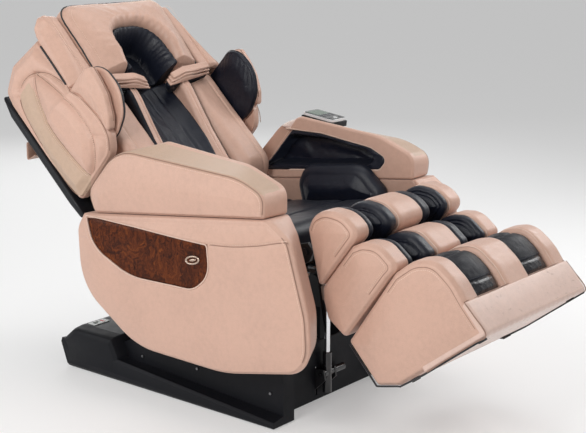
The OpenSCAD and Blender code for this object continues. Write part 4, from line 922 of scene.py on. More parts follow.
# the thin slot 2 cord along the top strip is painted shade of its seam
trim.joined(tube_shape(in_seat, at_x(strip_line, CHAIR_X - 18.6), 1.2, slot=2))
trim.joined(stitch_shape(in_seat, at_x(strip_low, CHAIR_X - 14.6), slot=1, normal=(1.0, 0.0, 0.2), lift=0.8))
trim.joined(stitch_shape(in_seat, at_x(inner_line, SHELL_X + 13.0), slot=1, normal=(-0.3, 0, 0.9), lift=1.4))
both("arm_trim", trim, [piping, thread, seam_shadow_paint], ("arm_l", "arm_r"), "tan_leather")

lining_corners = inset([[300, 379, 0.5], [-252, 379, 26], [-292, 418, 26], [-222, 460, 60], [-10, 512, 200],
                        [120, 528, 40], [236, 420, 40]], 0.6)
forearm = rounded([[330, 401, 10], [-205, 401, 20], [-232, 420, 16], [-196, 446, 40], [-10, 492, 200],
                   [110, 504, 30], [330, 470, 10]])


def lining_detail(g, d):
    """Deep black pocket for the forearm with folds drawn along it."""
    away = distance(g, forearm, True) * np.where(inside(g, forearm), 1, -1)
    depth = 62 * np.clip(away / 16 + 0.3, 0, 1) ** 0.7
    fan = np.arctan2(g[..., 1] - 330, g[..., 0] + 420)
    folds = 2.6 * np.sin(fan * 52 + 3 * waves(g, 90, 21)) * np.clip((away + 16) / 30, 0, 1)
    return depth + folds + 1.5 * waves(g, 24, 8)


cup = pad_shape(in_seat, lining_corners, lining_corners, [(-252, 379), (300, 379), (120, 528), (-282, 420)],
                SHELL_X + 3, POCKET_X - 0.5, 8, 3, fine(116), fine(50), 0, 0, walls=6, steps=4, face0=lining_detail)
both("arm_pocket", cup, [black_leather], ("arm_l", "arm_r"), "black_leather",
     (["arm_lining_left"], ["arm_lining_right"]), padded=0.4)

# ---------- seat ----------------------------------------------------------------------
RAIL_TOP = 205.0
seat_side = [[-325, RAIL_TOP + 1, 24], [-327, RAIL_TOP + 89, 40], [-40, RAIL_TOP + 73, 300], [285, RAIL_TOP + 83, 34],
             [283, RAIL_TOP + 1, 18]]


def seat_top(p):
    """Three pillows across the seat: the top sags between its cross seams and swells towards the middle."""
    p = p.copy()
    y, z = p[:, 1], p[:, 2]
    up = np.clip((z - RAIL_TOP - 40) / 30, 0, 1)
    across = np.exp(-((y + 150) / 9) ** 2) + np.exp(-((y - 70) / 9) ** 2)
    swell = 7 * np.cos(np.clip((y + 20) / 320, -1, 1) * math.pi / 2)
    p[:, 2] = z + up * (swell - 8 * across + 1.6 * waves(p[:, :2], 46, 5))
    return p


cushion = pad_shape(in_seat, seat_side, seat_side, [(-325, 206), (283, 206), (285, 288), (-327, 294)], -262, 262,
                    22, 22, fine(120), fine(30), 0, 0, walls=fine(40), steps=8, bend=seat_top)
cushion.build("seat_pad", [black_leather], "seat", "black_leather", ["seat_cushion"], padded=0.7)

hip_seams = [curve([(-226, 398), (-262, 340), (-252, 258)]), curve([(-214, 400), (-249, 342), (-240, 256)])]


def hip_detail(g, d):
    """Air pad swollen on both sides of its two sewn lines."""
    away = np.minimum(*[distance(g, line) for line in hip_seams])
    return (9 * np.clip(away / 40, 0, 1) * np.clip(d / 34, 0, 1) - sum(groove(g, line, 3, 4) for line in hip_seams)
            + 1.8 * waves(g, 40, 31) * np.clip(d / 20, 0, 1))


hip_round = [[84, 342, 60], [46, 404, 90], [-206, 405, 90], [-293, 312, 90], [-277, 261, 60], [70, 236, 40]]
hip = pad_shape(in_seat, hip_round, hip_round, [(-276, 262), (70, 236), (84, 342), (-206, 404)], 264.7, 326.7,
                34, 12, fine(98), fine(46), 10, 1, walls=6, steps=10, dome=70,
                face0=lambda g, d: -hip_detail(g, d))
pair("hip_air_pads", hip, [black_leather], "seat", "black_leather", ["hip_pads"], padded=0.8)

# ---------- back: side wings ------------------------------------------------------------
COVER_TOP = -50.0
PANEL_X, WING_X, WING_FRONT, WING_DROP, WING_LEAN = 343.0, 385.0, 222.0, 48.0, 62.0
LEAN_FROM, LEAN_OVER = 484.0, 275.0
wing_all = [[206, -30, 20], [300, -44, 60], [400, COVER_TOP, 60], [650, COVER_TOP, 60], [704, -40, 40], [758, 36, 20],
            [752, 172, 8], [704, 178, 60], [560, 205, 90], [482, 221, 40], [440, 246, 40], [330, 262, 60],
            [262, 248, 30], [216, 205, 60]]
wing_seams = [
    (curve([(665, 21), (675, 66), (660, 107), (621, 150), (554, 186), (493, 212), (420, 240), (316, 252), (258, 238),
            (219, 206)]), 4.0, 6.0),
    (curve([(644, 3), (611, -12), (532, -27), (388, -37), (259, -33), (214, -12), (206, 31)]), 4.0, 6.0),
    (curve([(656, 102), (594, 74), (463, 52), (337, 58), (224, 77)]), 5.0, 8.0),
    (curve([(660, 107), (545, 153), (446, 189), (353, 193), (298, 180), (249, 136), (225, 86)]), 5.0, 8.0),
    (curve([(304, 194), (264, 235), (246, 236), (222, 211)]), 3.0, 5.0)]
wing_oval = np.concatenate([wing_seams[2][0], wing_seams[3][0][::-1]])
crescent = np.concatenate([wing_seams[1][0], wing_seams[2][0][::-1]])
wing_cuts = [(206, -30), (704, -45), (752, 172), (216, 205)]
WING_GRID, WING_EDGE, WING_CROWN, WING_DOME = (fine(156), fine(76)), 15, 6, 40


def rise(a):
    """Share of the lean in the head part: 0 at the shoulders, 1 at the top."""
    return np.clip((a - LEAN_FROM) / LEAN_OVER, 0, 1) ** 0.6


def wing_front(t):
    """Height of the wing's front edge where the lean has the share t."""
    return WING_FRONT - WING_DROP * t


def wing_detail(g, d):
    """Sewn panels: grooves along the seams, a swollen panel between the inner pair, pulls beside them."""
    x = sum(groove(g, line, depth, width) for line, depth, width in wing_seams)
    nearest = np.min([distance(g, line) for line, _, _ in wing_seams], 0)
    x = x + 8.0 * np.clip(nearest / 40, 0, 1) ** 0.8 * np.clip(d / 22, 0, 1)
    x = x + 7.0 * np.clip(nearest / 40, 0, 1) ** 0.7 * inside(g, wing_oval)
    return x + 1.5 * waves(g, 90, 13) * np.clip(d / 30, 0, 1) + pleats(g[..., 0], nearest, 30, 0.7, 18, 5)


def wing_bend(p):
    """Above the shoulders the wing leans in towards its upper edge."""
    p = p.copy()
    t = rise(p[:, 1])
    share = np.clip((p[:, 2] - COVER_TOP) / (wing_front(t) - COVER_TOP), 0, 1)
    p[:, 0] -= WING_LEAN * t * share
    return p


def wing_face(line, lift):
    """Points on the outside of the wing over the given side-plane points."""
    ring = sides(rounded(inset(wing_all, WING_EDGE)), wing_cuts, *WING_GRID)
    x = WING_X - WING_CROWN + domed(distance(line, ring, True), WING_CROWN, WING_DOME) + lift
    return wing_bend(np.column_stack([x, line]))


wing = pad_shape(in_back, wing_all, wing_all, wing_cuts, PANEL_X, WING_X, 4, WING_EDGE, *WING_GRID, 0, WING_CROWN,
                 walls=5, seam=2.0, steps=8, dome=WING_DOME, face1=wing_detail, bend=wing_bend)
for line, shift in ((wing_seams[0][0], 5.5), (wing_seams[2][0], 6.0), (wing_seams[3][0], -6.0)):
    wing.joined(stitch_shape(in_back, wing_face((line + shift * left_of(line))[6:-6], 1.9), slot=1))
# slot 2 cords sunk in the seam grooves: painted shade of the grooves
for line, depth, width in wing_seams[:4]:
    wing.joined(tube_shape(in_back, wing_face(line[4:-4], -depth + 0.9), 1.1, slot=2))
wings = pair("back_wings", wing, [tan_leather, thread, seam_shadow_paint, tan_top], "back", "tan_leather", ["side_wings"],
             padded=0.7)
middle = face_values(wings, "center") * 1000
from_hinge = middle[:, 1:] - np.array(HINGE)
along_up = np.column_stack([from_hinge @ np.array(direction(BACK_SLOPE + turn)) for turn in (0, math.pi / 2)])
finish_faces(wings, (np.abs(middle[:, 0]) > 366) & inside(along_up, crescent)
             & (face_values(wings, "material_index") == 0), 3)

# ---------- back: long padded edges beside the pillow ------------------------------------
EAR_STEPS, EAR_SEAM_X, EAR_SWELL_X = fine(96), 292.0, 320.0
ear_rows = np.array([(798, 36, 240), (790, 25, 250), (780, 14, 254), (768, 8, 256), (758, 3, 256), (738, 1, 256),
                     (704, 0.6, 255), (650, 0.6, 252), (600, 0.6, 251), (560, 0.6, 250), (512, 1, 250),
                     (500, 2.2, 249), (490, 3, 246)])         # along the back, lift of the inner edge, crest
ear_a = np.concatenate([np.linspace(808.4, 758, fine(18)), np.linspace(752, 500, fine(60)), np.linspace(497, 489, 4)])
ear_lift, ear_crest = (np.interp(-ear_a, -ear_rows[:, 0], ear_rows[:, k]) for k in (1, 2))


def ear_ring(a, up, crest):
    """Section of the long padded edge at one distance along the back, shrunk near both ends."""
    t = float(rise(a))
    front, low = WING_X - WING_LEAN * t, wing_front(t) - 0.7 + up
    ring = even(rounded([[front - 1, low, 8], [front - 3, low + 0.35 * (crest - low), 16], [front - 34, crest, 34],
                         [251, crest - 4, 14], [251, low, 4]]), 1.0, True)
    ring = np.roll(ring, -nearest_at(ring, (front - 1, low)), 0)
    full = np.vstack([ring, ring[:1]])
    ring = at_steps(full, np.linspace(0, line_steps(full)[-1], EAR_STEPS + 1)[:-1])
    end = np.clip(min((809 - a) / 26, (a - 487) / 12), 0.02, 1) ** 0.5
    ring = ring.mean(0) + (ring - ring.mean(0)) * (0.30 + 0.70 * end)
    return np.column_stack([ring[:, 0], np.full(EAR_STEPS, a), ring[:, 1]])


ear_rings = np.array([ear_ring(*row) for row in zip(ear_a, ear_lift, ear_crest)])
on_top = np.clip((ear_rings[..., 2] - 215) / 20, 0, 1)
dip = -4.5 * np.exp(-((ear_rings[..., 0] - EAR_SEAM_X) / 5.0) ** 2) * on_top
soft = (1.5 * waves(ear_rings[..., [0, 1]], 60, 17) * on_top
        + 3.0 * np.exp(-((ear_rings[..., 0] - EAR_SWELL_X) / 22) ** 2) * on_top)
ear_rings = ear_rings + (dip + soft)[..., None] * np.array([0, 0, 1.0])
rows, cols = ear_rings.shape[:2]
ear = Shape(in_back).add(np.concatenate([ear_rings.reshape(-1, 3), [ear_rings[0].mean(0)], [ear_rings[-1].mean(0)]]),
                         [grid_faces(rows, cols, True), *end_fans(rows, cols)])
ear_line = np.column_stack([np.full(len(ear_a) - 8, EAR_SEAM_X + 5), ear_a[4:-4], ear_crest[4:-4] + 0.2])
ear.joined(stitch_shape(in_back, ear_line, slot=1, normal=UPWARDS))
# black cord along the joint of wing and ear: painted shadow of the gap between them
gap_a = np.linspace(520, 716, 90)
gap_t = rise(gap_a)
gap_shadow_cord = np.column_stack([WING_X - WING_LEAN * gap_t - 1.2, gap_a, wing_front(gap_t) - 0.6])
ear.joined(tube_shape(in_back, gap_shadow_cord, 3.4, slot=2))
pair("head_edges", ear, [tan_leather, thread, black_piping_and_gap_shade], "back", "tan_leather", ["head_shell"], padded=0.7)

# ---------- back: leather panel that closes the head part from behind ------------------------
PILLOW_BASE, PILLOW_OUT = 99.0, 247.5
panel_side = [[691.5, -49.7, 1], [701.5, -45, 6], [754, 35, 20], [750, 174, 5], [738, 174, 4], [742, 40, 16],
              [691.5, -28, 1]]
panel_out = curve([(691.5, -49.7), (702, -44.5), (728, -4), (752, 33), (754, 44), (750, 174)])


def panel_bend(p):
    """Slack leather between the wings: leans in with them, sinks under the pillow, and is sewn into three fields."""
    p = p.copy()
    x, a, n = p[:, 0].copy(), p[:, 1], p[:, 2]
    share = np.clip((n - COVER_TOP) / (wing_front(rise(a)) - COVER_TOP), 0, 1)
    p[:, 0] = x * (PANEL_X - WING_LEAN * rise(a) * share) / PANEL_X
    top = np.where(np.abs(p[:, 0]) < PILLOW_OUT, PILLOW_BASE - 0.6, 173.0)
    p[:, 2] = np.where(n > 40, 40 + (n - 40) * (top - 40) / 134, n)
    outer = np.clip(1 - distance(p[:, 1:], panel_out) / 5, 0, 1) * np.clip((PANEL_X - 1 - np.abs(x)) / 24, 0, 1)
    seams = np.exp(-((np.abs(x) - 196) / 4.0) ** 2) + np.exp(-((n - 30) / 4.0) ** 2) * (n < 60)
    relief = outer * (4.0 * np.cos(np.clip(x / PANEL_X, -1, 1) * math.pi / 2) - 3.2 * seams + 1.4 * waves(
        np.stack([x, n + a], -1), 70, 141))
    p[:, 1] += relief * 0.84
    p[:, 2] -= relief * 0.54 * (n < 40)
    return p


head_panel = pad_shape(in_back, panel_side, panel_side, [(691.5, -49), (702, -44), (750, 174), (738, 174)],
                       0.6 - PANEL_X, PANEL_X - 0.6, 3, 3, fine(14), fine(86), 0, 0, walls=fine(120), steps=3,
                       bend=panel_bend)
head_panel.build("head_back_panel", [tan_leather], "back", "tan_leather", [], padded=0.4)

# ---------- back: pillow round the head ---------------------------------------------------


def matched(line, stops, counts):
    """A path resampled so that each stretch between the given stops has its own number of points."""
    s = line_steps(line)
    at = [s[nearest_at(line, q)] for q in stops]
    return at_steps(line, np.concatenate([np.linspace(a, b, n + 1)[:-1] for a, b, n in zip(at[:-1], at[1:], counts)]
                                         + [at[-1:]]))


def open_path(corners):
    """A path with rounded corners, from its first corner to its last."""
    closed = rounded(corners + [[corners[-1][0], -900, 1], [corners[0][0], -900, 1]], 1.0)
    closed = np.roll(closed, -nearest_at(closed, corners[0]), 0)
    if nearest_at(closed, corners[-1]) < 3 or closed[len(closed) // 50 + 1, 1] < corners[0][1] - 1:
        closed = np.roll(closed[::-1], 1, 0)
    return closed[: nearest_at(closed, corners[-1]) + 1]


PILLOW_IN, R_IN, R_OUT = 119.0, 30.0, 40.0
path_in = open_path([[PILLOW_IN, 503, 1], [PILLOW_IN, 694, 108], [-PILLOW_IN, 694, 108], [-PILLOW_IN, 503, 1]])
path_out = open_path([[PILLOW_OUT, 503, 1], [PILLOW_OUT, 811, 52], [-PILLOW_OUT, 811, 52], [-PILLOW_OUT, 503, 1]])
counts = [fine(60), fine(70), fine(40), fine(70), fine(60)]
p_in, p_out = (matched(path, [(side, 503), (side, bend), (top, end), (-top, end), (-side, bend), (-side, 503)], counts)
               for path, side, bend, top, end in ((path_in, PILLOW_IN, 586, 30, 694),
                                                  (path_out, PILLOW_OUT, 660, 120, 811)))
width = np.linalg.norm(p_out - p_in, axis=1)
span = (p_out - p_in) / width[:, None]
mid_a = 0.5 * (p_in[:, 1] + p_out[:, 1])
crest_in = np.interp(mid_a, [503, 596, 660, 740, 760], [280, 304, 306, 304, 302])
crest_out = np.interp(mid_a, [503, 596, 690, 740, 760], [252, 266, 272, 282, 286])
arc_s = line_steps(p_in)
gather = np.clip((p_in[:, 1] - 520) / 120, 0.15, 1)


def pillow_row(d_in, up, on_crest=True):
    """One line along the pillow: d_in from its inner path, and up over the crest or, low down, over its base."""
    at = p_in + span * d_in[:, None]
    if on_crest:
        t = np.clip((d_in - R_IN) / (width - R_IN - R_OUT), 0, 1)
        crest = crest_in * (1 - t) + crest_out * t + 9 * np.sin(math.pi * np.clip(d_in / width, 0, 1)) ** 0.8
        fold = pleats(arc_s + 900, np.maximum(d_in, 0.01), 27, 3.4, 46, 3) * gather
        soft = 2.2 * waves(at, 55, 41) + 1.0 * waves(at, 20, 42)
        up = crest + up + fold + soft - 3.0 * np.exp(-((width - d_in - 30) / 5) ** 2)
    return np.column_stack([at, up])


def base_row(d_in, crest, radius, share):
    """A line low on the pillow's wall, the share of the way up from its base."""
    return pillow_row(d_in, PILLOW_BASE + share * (crest - radius - PILLOW_BASE), False)


quarter = np.linspace(0, math.pi / 2, fine(10))
inner_wall, outer_wall = np.zeros(len(p_in)), width
pillow_rows = [base_row(inner_wall, crest_in, R_IN, share) for share in (0.0, 0.6)]
pillow_rows += [pillow_row(inner_wall + R_IN * (1 - math.cos(w)), -R_IN * (1 - math.sin(w))) for w in quarter]
pillow_rows += [pillow_row(R_IN + (width - R_IN - R_OUT) * t, 0.0) for t in np.linspace(0, 1, fine(26))[1:-1]]
pillow_rows += [pillow_row(width - R_OUT * (1 - math.sin(w)), -R_OUT * (1 - math.cos(w))) for w in quarter]
pillow_rows += [base_row(outer_wall, crest_out, R_OUT, share) for share in (0.5, 0.0)]
grid = np.array(pillow_rows)                                   # rows across, columns along
end = np.clip((grid[:, :, 1] - 502.6) / 16, 0.02, 1) ** 0.5
end = np.where(np.abs(grid[:, :, 0]) < PILLOW_IN - 1, 1.0, end)
middle = 0.5 * (grid.max(0) + grid.min(0))
grid[..., 2] = PILLOW_BASE + (grid[..., 2] - PILLOW_BASE) * (0.72 + 0.28 * end)
grid[..., 0] = middle[None, :, 0] + (grid[..., 0] - middle[None, :, 0]) * np.where(end < 1, 0.8 + 0.2 * end, 1)
rows, cols = grid.shape[:2]
g = np.arange(rows * cols).reshape(rows, cols)
after = np.roll(np.arange(rows), -1)
pillow = Shape(in_back).add(np.concatenate([grid.reshape(-1, 3), [grid[:, 0].mean(0)], [grid[:, -1].mean(0)]]), [
    grid_faces(rows, cols),
    np.stack([g[0, :-1], g[0, 1:], g[-1, 1:], g[-1, :-1]], -1)[:, ::-1],
    np.stack([g[:, 0], g[after, 0], np.full(rows, rows * cols)], -1)[:, ::-1],
    np.stack([g[:, -1], g[after, -1], np.full(rows, rows * cols + 1)], -1)])
outer_off = np.array([999.0] * (len(pillow_rows) - len(quarter) - 2) + [R_OUT * (1 - math.sin(w)) for w in quarter])
near_edge = int(np.argmin(np.abs(outer_off - 5)))
pillow.joined(tube_shape(in_back, grid[near_edge, 3:-3] + 1.2 * np.column_stack([span[3:-3], np.ones(cols - 6)]),
                         2.8, slot=1))
pillow_thread = np.column_stack([p_in[3:-3] + span[3:-3] * (width[3:-3] - 33)[:, None],
                                 grid[near_edge - 4, 3:-3, 2] + 3.4])
pillow.joined(stitch_shape(in_back, pillow_thread, slot=2, normal=UPWARDS))
pillow.build("head_cushion", [tan_leather, black_piping_and_gap_shade, thread], "back", "tan_leather", ["head_pillow"], padded=0.8)

recess_plan = [[-121, 504.5, 3], [121, 504.5, 3], [121, 696, 108], [-121, 696, 108]]


def recess_bend(p):
    """Collar rising from the flat centre to the pillow's edge, with folds running down it."""
    p = p.copy()
    flat = p[:, 1:]
    d = distance(flat, path_in)
    t = np.clip(d / 44, 0, 1)
    lift = 118 * np.sqrt(np.clip(1 - t ** 2, 0, 1)) ** 1.1 - 16 * np.clip(1 - d / 7, 0, 1) ** 2
    theta = np.arctan2(flat[:, 0], flat[:, 1] - 590 + 1e-6)
    fold = pleats(theta * 110 + 900, np.maximum(d, 0.01), 21, 2.6, 60, 9) * np.clip(d / 8, 0.2, 1)
    share = np.clip((p[:, 0] - 114) / 30, 0, 1)
    parting = 3 * np.exp(-(flat[:, 0] / 3.5) ** 2) * np.clip((d - 44) / 10, 0, 1)
    p[:, 0] += share * (lift + fold + 1.2 * waves(flat, 30, 4) - parting)
    return p


recess = pad_shape(flat_in_back, recess_plan, recess_plan, [(-121, 505), (121, 505), (85, 664), (-85, 664)], 112, 156,
                   2, 2, fine(84), fine(84), 0, 0, walls=3, steps=3, bend=recess_bend)
recess.build("head_recess", [black_leather], "back", "black_leather", ["head_lining"], padded=0.4)

# ---------- back: shoulder lobes ------------------------------------------------------------
outer_lobe = [[250, 246, 12], [300, 300, 40], [360, 334, 40], [420, 346, 60], [466, 350, 14], [481, 330, 14],
              [481, 222, 9], [440, 247, 40], [330, 263, 60]]
inner_lobe = [[262, 160, 20], [262, 250, 80], [284, 316, 90], [350, 368, 110], [440, 366, 110], [484, 330, 60],
              [482.5, 290, 40], [482.5, 180, 16]]


def lobe_detail(seed):
    """Domed face with slow waves, and gathers that run in from its edge."""
    def f(g, d):
        return (8 * np.sin(0.5 * math.pi * np.clip(d / 46, 0, 1)) + 1.8 * waves(g, 42, seed) * np.clip(d / 16, 0, 1)
                + pleats(g[..., 0] - g[..., 1], d, 26, 1.1, 26, seed))
    return f


lobe_cuts = [(250, 246), (481, 222), (466, 350), (330, 318)]
lobe = pad_shape(in_back, outer_lobe, outer_lobe, lobe_cuts, 349, 387, 9, 9, fine(80), fine(30), 2, 2, walls=4,
                 steps=6, dome=30, face0=lambda g, d: -2.5 * lobe_detail(3)(g, d) / 5, face1=lobe_detail(19))
lobe_edge = run_of(rounded(outer_lobe), lambda p: p[:, 1] > 285)
# the slot 2 cord along the lobe's edge is painted shade of its seam
lobe.joined(tube_shape(in_back, at_x(lobe_edge, 362.0), 1.8, slot=2))
pair("shoulder_pads_outer", lobe, [tan_leather, black_leather, seam_shadow_paint], "back", "tan_leather",
     ["shoulder_shells"], padded=0.7)
lobe = pad_shape(in_back, inner_lobe, inner_lobe, [(262, 165), (482, 185), (470, 350), (300, 330)], 316, 342.5, 10, 8,
                 fine(80), fine(70), 4, 1, walls=4, steps=6, dome=46, face0=lambda g, d: -lobe_detail(23)(g, d),
                 slots=([1] * 8 + [0] * 8, 1, 0))
lobe_edge = run_of(rounded(inner_lobe), lambda p: p[:, 1] > 205)
lobe.joined(tube_shape(in_back, at_x(lobe_edge, 332.5), 2.6, slot=2))
pair("shoulder_pads_inner", lobe, [tan_leather, black_leather, black_piping_and_gap_shade], "back", "black_leather",
     ["shoulder_lobes"], padded=0.8)

# ---------- back: bolsters, centre, shoulder flaps --------------------------------------------


def lengthwise(seams, amount, seed, top0, crease=1.0):
    """Bend for a long pad: crown across the width, dips along the given x lines, slow cloth waves."""
    def f(p):
        p = p.copy()
        up = np.clip((p[:, 2] - top0) / 24, 0, 1)
        x = np.abs(p[:, 0])
        dip = sum(np.exp(-((x - s) / 4.5) ** 2) for s in seams)
        small = waves(p[:, :2] * np.array([1.0, 0.45]), 26, seed)
        p[:, 2] += up * (amount - 3.2 * dip + crease * (1.6 * waves(p[:, :2], 75, seed + 1) + 1.5 * small))
        return p
    return f


def along_pad(x, along, knots, heights, lift):
    """A line down a long pad at one x, lifted over the heights at the given knots."""
    return np.column_stack([np.full(len(along), x), along, np.interp(along, knots, heights) + lift])


bolster_side = [[34, 99, 10], [24, 150, 60], [60, 214, 80], [489, 220, 30], [489, 99, 4]]
bolster = pad_shape(in_back, bolster_side, bolster_side, [(34, 99), (489, 99), (489, 216), (45, 200)], 160, 305, 40,
                    24, fine(130), fine(28), 0, 0, walls=fine(24), steps=8, bend=lengthwise([262], 0, 51, 150))
bolster_thread = along_pad(268.0, np.linspace(80, 470, 60), [60, 110, 489], [206, 214.8, 219], -0.4)
bolster.joined(stitch_shape(in_back, bolster_thread, slot=1, normal=UPWARDS))
pair("back_bolsters", bolster, [tan_leather, thread], "back", "tan_leather", [], padded=0.7)
ridge_side = [[40, 60, 10], [36, 120, 40], [96, 176, 60], [240, 194, 200], [420, 236, 120], [496, 234, 20],
              [496, 60, 4]]
ridge = pad_shape(in_back, ridge_side, ridge_side, [(40, 60), (496, 60), (496, 230), (70, 150)], 106, 156, 17, 15,
                  fine(120), fine(28), 0, 0, walls=fine(10), steps=6, bend=lengthwise([126], 1.0, 61, 150),
                  slots=([0] * (12 + fine(10) - 5) + [1] * 5, 0, 1))
ridge_thread = along_pad(121.0, np.linspace(110, 485, 80), [96, 130, 240, 330, 400, 440, 490],
                         [176, 181, 195, 215, 229, 234, 235], 0.4)
ridge.joined(stitch_shape(in_back, ridge_thread, slot=2, normal=UPWARDS))
pair("back_ridges", ridge, [tan_leather, black_leather, thread], "back", "tan_leather", ["bolsters"], padded=0.7)


def edge_lift(p):
    """The centre pad is dished: its long edges climb against the ridges."""
    p[:, 2] += 34 * np.clip((p[:, 2] - 110) / 40, 0, 1) * np.clip(np.abs(p[:, 0]) / 110, 0, 1) ** 2.4 * np.clip(
        (p[:, 1] - 60) / 160, 0, 1)
    return p


centre_side = [[50, 97, 6], [44, 150, 30], [300, 158, 400], [500, 150, 20], [500, 97, 6]]
centre = pad_shape(in_back, centre_side, centre_side, [(50, 97), (500, 97), (500, 149), (46, 140)], -109.6, 109.6, 12,
                   12, fine(140), fine(24), 0, 0, walls=fine(48), steps=5,
                   bend=lambda p: edge_lift(lengthwise([0, 50], 3.0, 71, 128, 1.6)(p)))
centre.build("back_centre", [black_leather], "back", "black_leather", ["centre_pad"], padded=0.5)


def leaf_bend(p, k):
    """Each fold sweeps forward and curls over towards its free tip."""
    p = p.copy()
    t = np.clip((190 - p[:, 1]) / 140, 0, 1)
    p[:, 0] -= 16 * t ** 1.6
    p[:, 2] += 1.4 * np.sin(p[:, 1] / 19 + k) * np.clip((p[:, 1] - 60) / 60, 0, 1) - 5 * t ** 3
    return p


flap = Shape(in_back)
for k, (grow, low, a0) in enumerate([(0, 0, 447), (7, 9, 453), (14, 18, 460)]):
    leaf = [[48 + grow, 236 + low, 6], [54 + grow, 243 + low, 6], [120, 256 + low, 90], [250, 258 + low, 4],
            [250, 250 + low, 4], [130, 246 + low, 90]]
    cuts = [(48 + grow, 236 + low), (250, 250 + low), (250, 258 + low), (54 + grow, 243 + low)]
    flap.joined(pad_shape(across_back, leaf, leaf, cuts, a0, a0 + 30 - 2 * k, 3.4, 3.4, fine(60), fine(8), 0, 0,
                          walls=3, steps=4, bend=lambda p, k=k: leaf_bend(p, k)))
black_flap = [[50, 232, 10], [62, 238, 10], [140, 247, 60], [249, 250, 8], [247, 221, 8], [150, 221, 20],
              [126, 200, 14], [104, 176, 8], [92, 174, 10], [60, 204, 40]]
under = pad_shape(across_back, black_flap, black_flap, [(52, 230), (247, 222), (247, 248), (62, 238)], 446, 478, 12,
                  12, fine(70), fine(20), 2, 2, walls=3, steps=6, dome=16, slots=([1] * 15, 1, 1),
                  face0=lambda g, d: -2.4 * waves(g, 24, 8) - pleats(g[..., 0], d, 14, 1.2, 20, 2),
                  face1=lambda g, d: 2.4 * waves(g, 24, 9), bend=lambda p: leaf_bend(p, 3))
pair("shoulder_flaps_soft", flap.joined(under), [tan_leather, black_leather], "back", "tan_leather",
     ["shoulder_flaps"], padded=0.5)

# ---------- cloth gusset between the seat and the back ------------------------------------------
GUSSET_X = 234.0
gusset_path = curve([(140.5, 533), (147, 548), (150, 564), (148.5, 580), (142, 594), (137, 603)], 2.0)
gusset_x = np.linspace(-GUSSET_X, GUSSET_X, fine(110))
slack = np.sin(np.linspace(0, math.pi, len(gusset_path)))[:, None]
sway = 1.6 * waves(np.stack(np.meshgrid(gusset_x, np.linspace(0, 70, len(gusset_path))), -1), 42, 151) * slack
gusset = sheet_shape(in_row, *(cloth_face(gusset_path, gusset_x, sway + 0.8 * sign) for sign in (1, -1)))
gusset = gusset.build("back_gusset", [black_leather], None, "black_leather", [])
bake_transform(gusset)

# ---------- back: rear cover and the cloth flap below it ---------------------------------------
cover_side = [[165, -72, 4], [188, -80, 30], [640, -80, 60], [694, -60, 20], [700, -50.4, 3], [160, -50.4, 3]]
LOUVRE_FROM, LOUVRE_PITCH, JOINT_AT = 470, 18, 420


def cover_bend(p):
    """Raised field, a row of louvres and a joint line moulded into the shell's back."""
    p = p.copy()
    x, a = p[:, 0], p[:, 1]
    back_side = np.clip((-74 - p[:, 2]) / 5, 0, 1)
    frame_d = np.minimum(np.minimum(330 - np.abs(x), a - 215), 655 - a)
    step = 4 * np.clip(frame_d / 5, 0, 1)
    wave = np.cos((a - LOUVRE_FROM) / LOUVRE_PITCH * 2 * math.pi)
    louvre = 4.5 * (0.5 + 0.5 * wave) ** 3 * np.clip((170 - np.abs(x)) / 5, 0, 1)
    louvre = louvre * ((a > 461) & (a < 623))
    joint = 2.6 * np.exp(-((a - JOINT_AT) / 1.6) ** 2)
    p[:, 2] += back_side * (step + louvre + joint)
    return p


cover = pad_shape(in_back, cover_side, cover_side, [(160, -52), (170, -74), (690, -62), (700, -52)], -383, 383, 10, 10,
                  fine(180), fine(8), 0, 0, walls=fine(70), steps=4, bend=cover_bend)
cover.build("back_shell", [back_plastic], "back", "base_shell", ["rear_cover"])

HEM_X, HEM_HALF, HEM_WAVE = 381, 1.3, 1.3
hem_path = curve([(1.0, -2.0), (3.5, -10.0), (3.5, -30.0), (4.0, -52.0), (2.0, -60.0), (-4.0, -60.5),
                  (-20.0, -52.5), (-35.5, -42.8)])
root = in_back(np.array([[0.0, 514.0, -80.3]]))[0] * 1000
hem_x = np.linspace(-HEM_X, HEM_X, fine(120))
wave = HEM_WAVE * waves(np.column_stack([hem_x, np.zeros(len(hem_x))]), 60, 3)
fade = np.linspace(0, 1, len(hem_path))[:, None]


def hem_face(sign):
    """One side of the hanging cloth, whose waves grow towards its free edge."""
    line = hem_path + sign * HEM_HALF * left_of(hem_path)
    y = root[1] + line[:, :1] + fade * wave[None]
    return np.stack([np.broadcast_to(hem_x, y.shape), y, np.broadcast_to(root[2] + line[:, 1:], y.shape)], -1)


hanging = sheet_shape(in_row, hem_face(1), hem_face(-1))
hanging = hanging.build("rear_hem", [tan_plain], "back", "tan_lining", ["rear_flap"])

# ---------- leg rest: three blocks of padded fins ----------------------------------------------
WALL_IN, LEG_X, DIV_X, FLOOR = 213.0, 297.0, 72.0, 70.0
upper_side = [[-22, 84, 20], [-34, 126, 60], [-14, 176, 90], [52, 216, 130], [124, 208, 34], [121, -34, 12]]
lower_side = [[126, 158, 20], [146, 196, 60], [190, 234, 110], [284, 231, 40], [278, 180, 100], [279, -82, 14],
              [198, -84, 30], [148, -48, 30], [124, -18, 10]]
foot_side = [[282, 205, 20], [304, 282, 110], [352, 338, 130], [440, 336, 150], [500, 318, 200], [604, 296, 12],
             [502, -46, 8], [449, -108, 14], [294, -79, 10]]
upper_floor = [[-4, 70, 2], [122, 70, 2], [121, -34, 4]]
lower_floor = [[125, 70, 2], [277, 70, 2], [278, -80, 6], [198, -82, 28], [149, -46, 28], [125, -17, 6]]
foot_floor = [[284, 70, 2], [534, 70, 2], [502, -46, 6], [449, -108, 14], [294, -79, 8]]
fin_cuts = {"upper": [(-24, 84), (121, -30), (124, 208), (10, 192)],
            "lower": [(126, 150), (250, -84), (284, 231), (150, 200)],
            "foot": [(285, 200), (480, -75), (604, 296), (352, 338)]}

